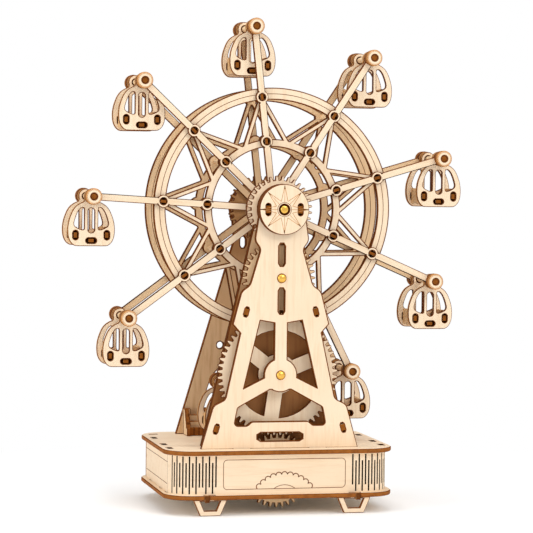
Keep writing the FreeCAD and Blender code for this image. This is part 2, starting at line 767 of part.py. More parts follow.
# --- crank and music movement ---
def make_crank():
    straight = shaft(0, crank_z, crank_shaft_r, gear_y - turn_gap, crank_arm_y + ply + pin_stand)
    worm_y = bed_front + arbor_back - worm_length / 2
    save("crank_shaft", straight.fuse(rod(0, crank_z, worm_r, worm_y, worm_y + worm_length)).removeSplitter())
    knob_z = crank_z + crank_throw
    body = rectangle(0, crank_z + crank_throw / 2, crank_neck, crank_throw)
    ends = [disc(0, z, crank_end_r) for z in (crank_z, knob_z)]
    holes = [bore(0, crank_z, crank_shaft_r), bore(0, knob_z, knob_pin_r)]
    save("crank_arm", sheet([body] + ends, holes, crank_arm_y))
    start = crank_arm_y + ply + turn_gap
    end = start + knob_length
    save("knob_pin", shaft(0, knob_z, knob_pin_r, crank_arm_y, end + knob_pin_stand))
    knob = rod(0, knob_z, knob_r, start, end)
    rims = [e for e in knob.Edges if abs(e.Vertexes[0].Y - e.Vertexes[1].Y) < knob_length / 2]
    knob = knob.makeChamfer(knob_chamfer, rims)
    save("crank_knob", knob.cut(sheet([bore(0, knob_z, knob_pin_r + shaft_gap)], [], start, knob_length)))


def make_movement():
    top = wall_z + bed_thick
    arbor_z = crank_z + worm_r + worm_wheel_r + turn_gap
    arbor_y = bed_front + arbor_back
    left = bed_x - bed_length / 2
    bed = block(left, left + bed_length, bed_front, bed_front + bed_depth, wall_z, top)
    drum_x = worm_wheel_r + drum_gap
    ear_left = left + ear_inset
    ear_right = drum_x + cylinder_length + turn_gap
    ears = [block(x, x + ear_thick, arbor_y - ear_half, arbor_y + ear_half, top, arbor_z + ear_half)
            for x in (ear_left, ear_right)]
    comb_y = arbor_y + cylinder_r + comb_tip_gap
    heel_y = comb_y + comb_tooth_length
    comb_low = arbor_z - comb_thick / 2
    riser = block(drum_x, drum_x + cylinder_length, heel_y, bed_front + bed_depth, top, comb_low)
    hole_r = (arbor_r + shaft_gap) / math.cos(math.pi / flats(arbor_r + shaft_gap, disc_step))
    hole = cross_rod(arbor_y, arbor_z, hole_r, left, left + bed_length)
    save("music_bedplate", bed.fuse(ears + [riser]).removeSplitter().cut(hole))
    drum = cross_rod(arbor_y, arbor_z, cylinder_r, drum_x, drum_x + cylinder_length)
    wheel = cross_rod(arbor_y, arbor_z, worm_wheel_r, -worm_wheel_width / 2, worm_wheel_width / 2)
    arbor = Part.makeCylinder(arbor_r, ear_right + ear_thick - ear_left,
                              FreeCAD.Vector(ear_left, arbor_y, arbor_z), FreeCAD.Vector(1, 0, 0))
    save("music_cylinder", drum.fuse([wheel, arbor]).removeSplitter())
    pitch = cylinder_length / comb_teeth
    comb_high = comb_low + comb_thick
    comb_back = bed_front + bed_depth + comb_overhang
    comb = block(drum_x, drum_x + cylinder_length, comb_y, comb_back, comb_low, comb_high)
    gaps = []
    for i in range(1, comb_teeth):
        x = drum_x + i * pitch
        gaps.append(block(x - comb_gap / 2, x + comb_gap / 2, comb_y, heel_y - comb_taper * i,
                          comb_low, comb_high))
    save("music_comb", comb.cut(Part.makeCompound(gaps)))


def make_bearing_board():
    """The board inside the base that carries the front of the crank shaft."""
    front = gear_y + ply + bearing_board_gap
    board = rectangle(0, (wall_z + ceiling_z) / 2, bearing_board_width, wall_height)
    save("bearing_board", sheet([board], [bore(0, crank_z, crank_shaft_r + shaft_gap)], front))


os.makedirs("parts", exist_ok=True)
make_deck()
make_bottom()
make_feet()
make_walls()
make_front_plate()
make_inner_plate()
make_spacers()
make_rear_plate()
make_bearing_discs()
make_pins()
make_steps()
make_gears()
make_wheel()
make_gondolas()
make_crank()
make_movement()
make_bearing_board()
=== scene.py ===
"""Looks for a hand-cranked wooden ferris wheel that stands on a music box.

Every flat piece is cut from one thickness of pale ply: its faces stay light and
its cut edges are burnt brown, with a thin scorched line where the two meet.
"""

import json
import logging
import math
from dataclasses import dataclass, field
from enum import Enum

import bpy
from mathutils import Matrix, Vector

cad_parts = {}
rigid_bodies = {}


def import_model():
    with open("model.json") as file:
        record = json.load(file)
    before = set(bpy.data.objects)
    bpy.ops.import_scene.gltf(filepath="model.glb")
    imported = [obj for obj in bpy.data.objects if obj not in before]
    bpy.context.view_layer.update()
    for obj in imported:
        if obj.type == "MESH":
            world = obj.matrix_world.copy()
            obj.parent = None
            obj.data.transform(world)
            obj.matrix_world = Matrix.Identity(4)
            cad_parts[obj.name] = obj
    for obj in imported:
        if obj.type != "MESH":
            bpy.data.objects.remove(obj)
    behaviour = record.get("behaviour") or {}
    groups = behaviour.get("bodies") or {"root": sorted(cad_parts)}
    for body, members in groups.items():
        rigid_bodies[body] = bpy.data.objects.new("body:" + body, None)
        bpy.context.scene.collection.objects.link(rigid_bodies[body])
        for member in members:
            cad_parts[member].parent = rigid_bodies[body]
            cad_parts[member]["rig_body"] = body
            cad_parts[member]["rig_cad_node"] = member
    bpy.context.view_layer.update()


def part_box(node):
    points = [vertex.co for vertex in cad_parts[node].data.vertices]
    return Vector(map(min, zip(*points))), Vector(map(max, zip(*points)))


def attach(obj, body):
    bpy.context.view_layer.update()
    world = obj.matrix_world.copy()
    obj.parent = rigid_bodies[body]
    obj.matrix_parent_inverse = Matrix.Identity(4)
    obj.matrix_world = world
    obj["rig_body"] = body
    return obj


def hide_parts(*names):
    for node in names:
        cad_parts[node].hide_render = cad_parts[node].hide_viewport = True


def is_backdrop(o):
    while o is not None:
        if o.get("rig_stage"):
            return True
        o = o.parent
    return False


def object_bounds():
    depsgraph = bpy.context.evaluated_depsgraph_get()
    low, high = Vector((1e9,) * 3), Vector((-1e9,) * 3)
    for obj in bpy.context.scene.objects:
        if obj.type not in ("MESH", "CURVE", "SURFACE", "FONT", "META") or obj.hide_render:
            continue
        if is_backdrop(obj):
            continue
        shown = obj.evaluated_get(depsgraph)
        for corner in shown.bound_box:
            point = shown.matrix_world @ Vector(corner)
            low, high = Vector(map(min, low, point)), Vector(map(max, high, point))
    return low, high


LOG = logging.getLogger("ferris_wheel")
MM = 0.001
PLY = 3.0 * MM                # thickness of every sheet
WOOD = "basswood_ply"         # the record's slot for the sheet

# edges and lines
SCORCH_WIDTH = 0.50 * MM      # scorched bevel between a face and a wall
RIM_WIDTH = 0.72 * MM         # scorched line laid along a rim
RIM_RISE = 0.25               # how proud of the face that line stays, as a share of its round section
END_EASE = 0.12 * MM          # bevel on boards and tabs
LINE_DEPTH = 0.06 * MM        # thickness of a scored line, half of it sunk
RUN = 0.05 * MM               # gap between a shaft and its bore

# angles, in degrees
BEVEL_ANGLE = 40.0            # edges flatter than this aren't bevelled
SMOOTH_ANGLE = 30.0           # faces closer than this shade as one
CORNER_ANGLE = 28.0           # walls that turn by more than this meet in a corner
FLAT_ANGLE = 0.5              # faces closer than this become one
ARC_STEP = 2.5                # each flat of a spun arc

# how a polygon lies, by its normal's share along an axis
FACE_SHARE = 0.97
SQUARE_SHARE = 0.9
HALF_SHARE = 0.5
WALL_SHARE = 0.25

# flats of a round
ROSETTE_SIDES = 96
ROUND_SIDES = 64
BOSS_SIDES = 48
HOLE_SIDES = 32

WELD = 0.002 * MM             # corners closer than this are one
SEAM = 0.001 * MM             # the same for the two ends of a spun ring
SHADE_AND_SMOKE_DEPTH = 0.2 * MM         # thickness of a spot of painted shade, and how deep a smoked patch reaches

# mesh attributes
THROUGH = "through"
REST = "rest"
BEVEL_WEIGHT = "bevel_weight_edge"


class Axis(Enum):
    """The direction square to a flat piece's faces."""

    X = 0
    Y = 1
    Z = 2


class Grain(Enum):
    """The way the wood's fibres run: whose x, y and z the pattern reads, and its stretch."""

    UPRIGHT = ("object", (1.0, 1.0, 0.08))
    ACROSS = ("object", (0.08, 1.0, 1.0))
    ALONG_PIECE = ("piece", (0.08, 1.0, 1.0))


# --- finishes ---
@dataclass(frozen=True)
class Finish:
    """A finish that becomes one material, however many pieces take it."""

    name: str

    def material(self) -> bpy.types.Material:
        """The finish as a material, made once."""
        found = bpy.data.materials.get(self.name)
        if found:
            return found
        paint = NodePaint(self.name)
        self.colour(paint)
        return paint.material

    def colour(self, paint: "NodePaint") -> None:
        """Build the finish's nodes."""
        raise NotImplementedError


@dataclass(frozen=True)
class PlyFace(Finish):
    """The sanded face of the sheet, with faint fibres and pores.

    The optional height ramp gives the heights between which the wood turns to another tone, and that tone; it is
    painted shade, lighter or darker by height.
    """

    pale: tuple[float, float, float]
    deep: tuple[float, float, float]
    grain: Grain = Grain.UPRIGHT
    fibre_scale: float = 420.0
    cloud_scale: float = 24.0
    pore_scale: float = 1900.0
    roughness: float = 0.62
    gloss: float = 0.30
    # painted shade by height: from this height to that one the face turns to this tone
    shade_by_height: tuple[float, float, tuple[float, float, float]] | None = None

    def colour(self, paint: "NodePaint") -> None:
        """Fibres along the grain, soft clouds and dark pores."""
        source, stretch = self.grain.value
        place = paint.rest_coordinates if source == "piece" else paint.object_coordinates
        fibres = paint.noise(place(stretch), self.fibre_scale, detail=5.0, roughness=0.6)
        clouds = paint.noise(place((1.0, 1.0, 1.0)), self.cloud_scale, detail=2.0, roughness=0.5)
        pores = paint.noise(place((1.0, 1.0, 1.0)), self.pore_scale, detail=2.0, roughness=0.7)
        body = paint.ramp(fibres, ((0.28, self.deep), (0.52, self.pale), (1.0, self.pale)))
        cloudy = paint.mix(paint.ramp(clouds, ((0.38, (0.0,) * 3), (0.72, (0.40,) * 3))), body, self.deep)
        colour = paint.mix(paint.ramp(pores, ((0.30, (0.30,) * 3), (0.44, (0.0,) * 3))), cloudy, self.deep)
        # painted shade: the face's tone turns with height
        if self.shade_by_height:
            start, end, tint = self.shade_by_height
            colour = paint.mix(paint.height_share(start, end), colour, tint)
        paint.surface(colour, self.roughness, self.gloss)
        paint.bump(fibres, strength=0.18, distance=0.0001)


@dataclass(frozen=True)
class BurntEdge(Finish):
    """The laser-cut wall of a sheet: darker glue lines between lighter plies."""

    plies: tuple[float, float, float]
    glue: tuple[float, float, float]
    roughness: float = 0.8
    gloss: float = 0.12

    def colour(self, paint: "NodePaint") -> None:
        """Layers read from the attribute named through, and soot in streaks."""
        through = paint.attribute(THROUGH)
        streaks = paint.noise(paint.object_coordinates((1.0, 1.0, 1.0)), 260.0, detail=3.0, roughness=0.6)
        light = tuple(min(1.0, c * 1.3) for c in self.plies)
        layers = paint.ramp(through, ((0.0, self.glue), (0.12, light), (0.28, self.plies), (0.36, self.glue),
                                      (0.46, self.plies), (0.60, self.plies), (0.68, self.glue),
                                      (0.76, light), (0.90, self.plies), (1.0, self.glue)))
        sooty = paint.ramp(streaks, ((0.42, (0.0,) * 3), (0.74, (0.55,) * 3)))
        colour = paint.mix(sooty, layers, self.glue)
        paint.surface(colour, self.roughness, self.gloss)
        paint.bump(streaks, strength=0.25, distance=0.0001)


@dataclass(frozen=True)
class Scorch(Finish):
    """A dark tone: the line that the laser leaves along an edge or scores into a face, and the near-black of painted
    shade.
    """

    tint: tuple[float, float, float]
    roughness: float = 0.9
    gloss: float = 0.0

    def colour(self, paint: "NodePaint") -> None:
        """One dark tone, a little lighter in places."""
        smoke = paint.noise(paint.object_coordinates((1.0, 1.0, 1.0)), 300.0, detail=3.0, roughness=0.6)
        lighter = tuple(min(1.0, c * 1.5) for c in self.tint)
        paint.surface(paint.ramp(smoke, ((0.35, self.tint), (0.70, lighter))), self.roughness, self.gloss)


@dataclass(frozen=True)
class Metal(Finish):
    """A drawn or plated metal with fine draw marks."""

    tint: tuple[float, float, float]
    roughness: float
    gloss: float = 0.5

    def colour(self, paint: "NodePaint") -> None:
        """A bright tone with darker marks along it."""
        marks = paint.noise(paint.object_coordinates((1.0, 0.05, 1.0)), 2600.0, detail=3.0, roughness=0.6)
        darker = tuple(c * 0.82 for c in self.tint)
        paint.surface(paint.ramp(marks, ((0.3, darker), (0.7, self.tint))), self.roughness, self.gloss, metallic=1.0)
        paint.bump(marks, strength=0.08, distance=0.00005)


def set_inputs(tree: bpy.types.NodeTree, node: bpy.types.Node, inputs: dict) -> None:
    """Give a node's inputs a value each, or the output of another node."""
    for key, value in inputs.items():
        if isinstance(value, bpy.types.NodeSocket):
            tree.links.new(value, node.inputs[key])
        else:
            node.inputs[key].default_value = value


def new_node(tree: bpy.types.NodeTree, kind: str, inputs: dict | None = None, **settings: str) -> bpy.types.Node:
    """A new node of this kind with its settings and inputs."""
    node = tree.nodes.new(kind)
    for key, value in settings.items():
        setattr(node, key, value)
    set_inputs(tree, node, inputs or {})
    return node


class NodePaint:
    """A node graph on one new material."""

    def __init__(self, name: str) -> None:
        """Start with an empty principled surface.

        Args:
            name: The material's name.
        """
        self.material = bpy.data.materials.new(name)
        self.material.use_nodes = True
        self.tree = self.material.node_tree
        self.shader = self.tree.nodes["Principled BSDF"]

    def object_coordinates(self, stretch: tuple[float, float, float]) -> bpy.types.NodeSocket:
        """Object coordinates, scaled along each axis.

        Args:
            stretch: Scale along x, y and z.

        Returns:
            The stretched coordinates.
        """
        return self.stretched(new_node(self.tree, "ShaderNodeTexCoord").outputs["Object"], stretch)

    def rest_coordinates(self, stretch: tuple[float, float, float]) -> bpy.types.NodeSocket:
        """The piece's own coordinates from before it was turned to its place, scaled."""
        node = new_node(self.tree, "ShaderNodeAttribute", attribute_name=REST)
        return self.stretched(node.outputs["Vector"], stretch)

    def stretched(self, coords: bpy.types.NodeSocket, stretch: tuple[float, float, float]) -> bpy.types.NodeSocket:
        """These coordinates, scaled along each axis."""
        return new_node(self.tree, "ShaderNodeMapping", {"Vector": coords, "Scale": stretch}).outputs["Vector"]

    def height_share(self, start: float, end: float) -> bpy.types.NodeSocket:
        """How far a point's height lies between two heights, from 0 to 1."""
        split = new_node(self.tree, "ShaderNodeSeparateXYZ", {"Vector": self.object_coordinates((1.0, 1.0, 1.0))})
        share = new_node(self.tree, "ShaderNodeMapRange",
                         {"From Min": start, "From Max": end, "Value": split.outputs["Z"]},
                         interpolation_type="SMOOTHSTEP")
        return share.outputs["Result"]

    def attribute(self, name: str) -> bpy.types.NodeSocket:
        """The factor of a mesh attribute of this name."""
        return new_node(self.tree, "ShaderNodeAttribute", attribute_name=name).outputs["Fac"]

    def noise(self, coords: bpy.types.NodeSocket, scale: float, detail: float,
              roughness: float) -> bpy.types.NodeSocket:
        """A noise pattern.

        Args:
            coords: Where it is read.
            scale: How fine it is, per metre.
            detail: Number of finer copies on top.
            roughness: Strength of the finer copies.

        Returns:
            The pattern's value.
        """
        node = new_node(self.tree, "ShaderNodeTexNoise",
                        {"Vector": coords, "Scale": scale, "Detail": detail, "Roughness": roughness})
        return node.outputs["Fac"]

    def ramp(self, value: bpy.types.NodeSocket, stops: tuple) -> bpy.types.NodeSocket:
        """Colours picked by a value.

        Args:
            value: What picks them.
            stops: Pairs of place and colour, in order.

        Returns:
            The picked colour.
        """
        node = new_node(self.tree, "ShaderNodeValToRGB", {"Fac": value})
        elements = node.color_ramp.elements
        while len(elements) < len(stops):
            elements.new(0.5)
        for element, (place, colour) in zip(elements, stops):
            element.position = place
            element.color = (*colour, 1.0)
        return node.outputs["Color"]

    def mix(self, factor: bpy.types.NodeSocket, base: bpy.types.NodeSocket,
            over: tuple[float, float, float]) -> bpy.types.NodeSocket:
        """A colour laid over another.

        Args:
            factor: How much of it covers.
            base: The colour below.
            over: The colour on top.

        Returns:
            The mixed colour.
        """
        node = new_node(self.tree, "ShaderNodeMixRGB", {"Fac": factor, "Color1": base, "Color2": (*over, 1.0)})
        return node.outputs["Color"]

    def surface(self, colour: bpy.types.NodeSocket, roughness: float, gloss: float, metallic: float = 0.0) -> None:
        """Set the principled surface's colour and how it reflects.

        Args:
            colour: Its colour.
            roughness: Its roughness.
            gloss: Its specular level.
            metallic: 1 for metal.
        """
        set_inputs(self.tree, self.shader, {"Base Color": colour, "Roughness": roughness,
                                            "Specular IOR Level": gloss, "Metallic": metallic})

    def bump(self, height: bpy.types.NodeSocket, strength: float, distance: float) -> None:
        """Raise the surface by a pattern.

        Args:
            height: The pattern.
            strength: How much it shows, from 0 to 1.
            distance: Its height in metres.
        """
        node = new_node(self.tree, "ShaderNodeBump", {"Strength": strength, "Distance": distance, "Height": height})
        set_inputs(self.tree, self.shader, {"Normal": node.outputs["Normal"]})


CREAM = (0.885, 0.705, 0.505)
CREAM_DEEP = (0.80, 0.59, 0.385)
PALE_PLY = PlyFace("pale_ply", CREAM, CREAM_DEEP)
PALE_PLY_ACROSS = PlyFace("pale_ply_across", CREAM, CREAM_DEEP, Grain.ACROSS)
PALE_PLY_ALONG = PlyFace("pale_ply_along", CREAM, CREAM_DEEP, Grain.ALONG_PIECE)
# honey tone for spacers, keys, bars, axles and other small parts; on the rear arms and rear lattice it is painted
# shade, darker than the front ones' pale ply
HONEY_AND_SHADE_PLY = PlyFace("honey_ply", (0.84, 0.61, 0.37), (0.72, 0.48, 0.255))
HONEY_AND_SHADE_PLY_ALONG = PlyFace("honey_ply_along", (0.84, 0.61, 0.37), (0.72, 0.48, 0.255), Grain.ALONG_PIECE)
# tan for the foot keys; on the rear hub gear it is painted shade, a darker copy of the front gears' pale ply
TAN_AND_SHADE_PLY = PlyFace("tan_ply", (0.54, 0.295, 0.120), (0.43, 0.215, 0.080))
# painted shade: the inner plate's face is dark brown, as if shaded by the front plate and big gear, and turns
# lighter above its neck
PAINTED_SHADE_INNER_PLY = PlyFace("inner_ply", (0.40, 0.165, 0.045), (0.32, 0.125, 0.032), shade_by_height=(0.140, 0.165, (0.80, 0.54, 0.30)))
# painted shade: the rear plate turns darker brown higher up, towards the hub, as if shaded by the wheel
PAINTED_SHADE_REAR_PLY = PlyFace("rear_ply", (0.84, 0.60, 0.36), (0.64, 0.40, 0.20), shade_by_height=(0.150, 0.182, (0.55, 0.31, 0.14)))
# painted shade: the gondolas' boards are darker than their panels, as if shaded between them
BOARD_PLY_PAINTED_SHADE = PlyFace("board_ply", (0.70, 0.44, 0.21), (0.58, 0.34, 0.145), Grain.ACROSS)
TOASTED_EDGE = BurntEdge("toasted_edge", (0.54, 0.285, 0.10), (0.25, 0.10, 0.028))
LIGHT_EDGE = BurntEdge("light_burnt_edge", (0.385, 0.130, 0.024), (0.12, 0.034, 0.006))
DARK_EDGE = BurntEdge("dark_burnt_edge", (0.14, 0.043, 0.009), (0.040, 0.011, 0.003))
SCORCH_LINE = Scorch("scorch_line", (0.135, 0.038, 0.008))
SCORCHED_RIM = Scorch("scorched_rim", (0.42, 0.19, 0.06))
# painted shade: near-black put in slots, holes and gaps where shade falls
PAINTED_SHADE_BLACK = Scorch("soot", (0.016, 0.0035, 0.0008))
TAB_END = Scorch("tab_end", (0.20, 0.064, 0.011))
KEY_END = Scorch("key_end", (0.105, 0.034, 0.009))
SMOKED = Scorch("smoked_edge", (0.20, 0.068, 0.017))
BRASS = Metal("brass_rod", (0.86, 0.50, 0.10), 0.22)
STEEL = Metal("plated_steel", (0.60, 0.60, 0.58), 0.35)


# --- bench tools ---
class Bench:
    """Makes, cuts, joins and finishes meshes with Blender's own operators."""

    @staticmethod
    def pick(*pieces: bpy.types.Object) -> None:
        """Select only these pieces, the last one active."""
        bpy.ops.object.select_all(action="DESELECT")
        for piece in pieces:
            piece.hide_set(False)
            piece.select_set(True)
        bpy.context.view_layer.objects.active = pieces[-1]

    @staticmethod
    def place(name: str) -> bpy.types.Object:
        """Name the active new primitive and move its place into its mesh."""
        piece = bpy.context.active_object
        piece.name = name
        bpy.ops.object.transform_apply(location=True, rotation=True, scale=True)
        return piece

    @classmethod
    def disc(cls, name: str, x: float, z: float, radius: float, front: float, back: float,
             sides: int = ROUND_SIDES) -> bpy.types.Object:
        """A round along Y.

        Args:
            name: The piece's name.
            x: Centre from left to right.
            z: Centre's height.
            radius: Its radius.
            front: y of its front face.
            back: y of its back face.
            sides: Number of flats.

        Returns:
            The new piece.
        """
        bpy.ops.object.select_all(action="DESELECT")
        bpy.ops.mesh.primitive_cylinder_add(vertices=sides, radius=radius, depth=back - front,
                                            location=(x, (front + back) / 2, z), rotation=(math.pi / 2, 0, 0))
        return cls.place(name)

    @classmethod
    def board(cls, name: str, low: tuple[float, float, float], high: tuple[float, float, float]) -> bpy.types.Object:
        """A square-edged board between two corners."""
        bpy.ops.object.select_all(action="DESELECT")
        centre = [(a + b) / 2 for a, b in zip(low, high)]
        bpy.ops.mesh.primitive_cube_add(size=1, location=centre, scale=[b - a for a, b in zip(low, high)])
        return cls.place(name)

    @classmethod
    def stadium(cls, name: str, x: float, z: float, length: float, width: float, front: float, back: float,
                upright: bool = True) -> bpy.types.Object:
        """A long round-ended bar along Y, for cutting a tab's slot."""
        piece = cls.disc(name, x, z, width / 2, front, back, HOLE_SIDES)
        half = (length - width) / 2
        for vertex in piece.data.vertices:
            if upright:
                vertex.co.z += math.copysign(half, vertex.co.z - z)
            else:
                vertex.co.x += math.copysign(half, vertex.co.x - x)
        return piece

    @staticmethod
    def flowing(points: list[tuple[float, float]], steps: int) -> list[tuple[float, float]]:
        """A smooth closed line through these points.

        Args:
            points: Points (x, z) that it passes, in order.
            steps: Parts between two of them.

        Returns:
            The corners of the smooth line.
        """
        knots = [Vector(point) for point in points]
        line = []
        for i, start in enumerate(knots):
            before, end, after = knots[i - 1], knots[(i + 1) % len(knots)], knots[(i + 2) % len(knots)]
            for step in range(steps):
                t = step / steps
                leave, arrive = (end - before) / 2, (after - start) / 2
                at = (start * (2 * t ** 3 - 3 * t ** 2 + 1) + end * (3 * t ** 2 - 2 * t ** 3)
                      + leave * (t ** 3 - 2 * t ** 2 + t) + arrive * (t ** 3 - t ** 2))
                line.append((at.x, at.y))
        return line

    @classmethod
    def plate(cls, name: str, outline: list[tuple[float, float]], front: float, back: float) -> bpy.types.Object:
        """A flat piece with this outline in the XZ plane.

        Args:
            name: The piece's name.
            outline: Its corners (x, z), in order.
            front: y of its front face.
            back: y of its back face.

        Returns:
            The new piece.
        """
        bpy.ops.object.select_all(action="DESELECT")
        bpy.ops.mesh.primitive_circle_add(vertices=len(outline), radius=1, fill_type="NGON")
        piece = cls.place(name)
        for vertex, (x, z) in zip(piece.data.vertices, outline):
            vertex.co = (x, front, z)
        bpy.ops.object.mode_set(mode="EDIT")
        bpy.ops.mesh.select_all(action="SELECT")
        bpy.ops.mesh.extrude_region_move(TRANSFORM_OT_translate={"value": (0, back - front, 0)})
        bpy.ops.mesh.select_all(action="SELECT")
        bpy.ops.mesh.normals_make_consistent(inside=False)
        bpy.ops.object.mode_set(mode="OBJECT")
        return piece

    @classmethod
    def boolean(cls, piece: bpy.types.Object, tool: bpy.types.Object, operation: str) -> None:
        """Cut or add one piece with another, which is then thrown away."""
        cls.pick(piece)
        change = piece.modifiers.new("change", "BOOLEAN")
        change.operation = operation
        change.solver = "EXACT"
        change.object = tool
        bpy.ops.object.modifier_apply(modifier=change.name)
        bpy.data.objects.remove(tool)

    @classmethod
    def cut(cls, piece: bpy.types.Object, *tools: bpy.types.Object) -> None:
        """Cut each tool's shape out of a piece."""
        for tool in tools:
            cls.boolean(piece, tool, "DIFFERENCE")

    @classmethod
    def drill(cls, piece: bpy.types.Object, x: float, z: float, radius: float, front: float, back: float,
              sides: int = HOLE_SIDES) -> None:
        """Cut a round hole along Y through a piece that lies between a front and a back."""
        cls.cut(piece, cls.disc("tool", x, z, radius, front - PLY, back + PLY, sides))

    @classmethod
    def add(cls, piece: bpy.types.Object, *others: bpy.types.Object) -> None:
        """Fuse other pieces into this one."""
        for other in others:
            cls.boolean(piece, other, "UNION")

    @classmethod
    def join(cls, name: str, pieces: list[bpy.types.Object]) -> bpy.types.Object:
        """Put several pieces into one object.

        Args:
            name: The joined object's name.
            pieces: What goes into it.

        Returns:
            The joined object.
        """
        cls.pick(*pieces)
        if len(pieces) > 1:
            bpy.ops.object.join()
        pieces[-1].name = name
        return pieces[-1]

    @staticmethod
    def copy(piece: bpy.types.Object, change: Matrix) -> bpy.types.Object:
        """A copy with its own mesh, moved by a matrix."""
        other = piece.copy()
        other.data = piece.data.copy()
        other.data.transform(change)
        bpy.context.scene.collection.objects.link(other)
        return other

    @classmethod
    def cad_copy(cls, node: str, name: str) -> bpy.types.Object:
        """A merged copy of a frame node, with its flat faces made whole.

        Args:
            node: The frame node.
            name: The copy's name.

        Returns:
            The copy, free of the node's own marks.
        """
        source = bpy.data.objects[node]
        piece = source.copy()
        piece.data = source.data.copy()
        piece.name = name
        piece.parent = None
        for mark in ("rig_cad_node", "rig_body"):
            if mark in piece:
                del piece[mark]
        piece.data.materials.clear()
        bpy.context.scene.collection.objects.link(piece)
        cls.merge(piece)
        return piece

    @classmethod
    def merge(cls, piece: bpy.types.Object) -> None:
        """Join doubled corners and make flat faces whole."""
        cls.pick(piece)
        bpy.ops.object.mode_set(mode="EDIT")
        bpy.ops.mesh.select_all(action="SELECT")
        bpy.ops.mesh.remove_doubles(threshold=WELD)
        bpy.ops.mesh.dissolve_limited(angle_limit=math.radians(FLAT_ANGLE))
        bpy.ops.object.mode_set(mode="OBJECT")

    @classmethod
    def round_corners(cls, piece: bpy.types.Object, radius: float, segments: int,
                      low: tuple[float, float], high: tuple[float, float]) -> None:
        """Round a sheet's sharp corners inside a box, where seen square on.

        Args:
            piece: A sheet with faces square to Y.
            radius: How far the rounding reaches from each corner.
            segments: Steps in each rounding.
            low: Least distance from the middle in x, and least height.
            high: The most of both.
        """
        mesh = piece.data
        walls = {}
        for polygon in mesh.polygons:
            if abs(polygon.normal.y) < HALF_SHARE:
                for corner in polygon.loop_indices:
                    walls.setdefault(mesh.loops[corner].edge_index, []).append(polygon.normal.copy())
        weights = mesh.attributes.new(BEVEL_WEIGHT, "FLOAT", "EDGE")
        for edge, weight in zip(mesh.edges, weights.data):
            a, b = (mesh.vertices[i].co for i in edge.vertices)
            sides = walls.get(edge.index, ())
            sharp = len(sides) == 2 and sides[0].angle(sides[1]) > math.radians(CORNER_ANGLE)
            across = abs(a.y - b.y) > PLY / 2 and low[0] < abs(a.x) < high[0] and low[1] < a.z < high[1]
            weight.value = 1.0 if sharp and across else 0.0
        cls.pick(piece)
        change = piece.modifiers.new("rounding", "BEVEL")
        change.width = radius
        change.segments = segments
        change.limit_method = "WEIGHT"
        bpy.ops.object.modifier_apply(modifier=change.name)
        mesh = piece.data
        mesh.attributes.remove(mesh.attributes[BEVEL_WEIGHT])

    @classmethod
    def soften(cls, piece: bpy.types.Object, width: float, segments: int = 1, material: int = -1,
               clamp: bool = True) -> None:
        """Bevel the sharp edges and smooth the round walls.

        Args:
            piece: What is bevelled.
            width: Width of the bevel.
            segments: Steps across it.
            material: Material slot of the bevel, or -1 for its neighbours'.
            clamp: Whether the shortest edge limits the width, and loose edges steer it.
        """
        cls.pick(piece)
        change = piece.modifiers.new("soften", "BEVEL")
        change.width = width
        change.segments = segments
        change.limit_method = "ANGLE"
        change.angle_limit = math.radians(BEVEL_ANGLE)
        change.material = material
        change.use_clamp_overlap = clamp
        change.loop_slide = clamp
        bpy.ops.object.modifier_apply(modifier=change.name)
        bpy.ops.object.shade_smooth_by_angle(angle=math.radians(SMOOTH_ANGLE))

    @classmethod
    def hoop(cls, name: str, centre: tuple[float, float], radii: tuple[float, float], front: float, back: float,
             start: float = 0.0, sweep: float = 360.0) -> bpy.types.Object:
        """A flat ring about a line along Y, or a part of one, spun from its cross-section.

        Args:
            name: The piece's name.
            centre: x and z of its centre.
            radii: Its inner and outer radius.
            front: y of its front face.
            back: y of its back face.
            start: Angle of its first end from +X, in degrees.
            sweep: How far it goes round, in degrees.

        Returns:
            The new piece.
        """
        bpy.ops.object.select_all(action="DESELECT")
        bpy.ops.mesh.primitive_plane_add(size=1, location=(0, 0, 0))
        piece = cls.place(name)
        for vertex in piece.data.vertices:
            radius = radii[0] if vertex.co.x < 0 else radii[1]
            vertex.co = (centre[0] + radius, front if vertex.co.y < 0 else back, centre[1])
        piece.data.transform(cls.turn(centre, start))
        bpy.ops.object.mode_set(mode="EDIT")
        bpy.ops.mesh.select_all(action="SELECT")
        if sweep >= 360:
            bpy.ops.mesh.delete(type="ONLY_FACE")
            bpy.ops.mesh.select_all(action="SELECT")
        bpy.ops.mesh.spin(steps=max(4, round(abs(sweep) / ARC_STEP)), angle=-math.radians(sweep),
                          center=(centre[0], front, centre[1]), axis=(0, -1, 0))
        bpy.ops.mesh.select_all(action="SELECT")
        bpy.ops.mesh.remove_doubles(threshold=SEAM)
        bpy.ops.mesh.normals_make_consistent(inside=False)
        bpy.ops.object.mode_set(mode="OBJECT")
        return piece

    @classmethod
    def arc_line(cls, name: str, centre: tuple[float, float], radius: float, start: float, sweep: float,
                 face: float, width: float) -> bpy.types.Object:
        """A scored arc on a face that looks towards -Y.

        Args:
            name: The line's name.
            centre: x and z of the arc's centre.
            radius: Its radius.
            start: Angle of its first end from +X, in degrees.
            sweep: How far it goes round, in degrees.
            face: y of the face.
            width: Width of the line.

        Returns:
            The line, half sunk in the face.
        """
        return cls.hoop(name, centre, (radius - width / 2, radius + width / 2), face - LINE_DEPTH / 2,
                        face + LINE_DEPTH / 2, start, sweep)

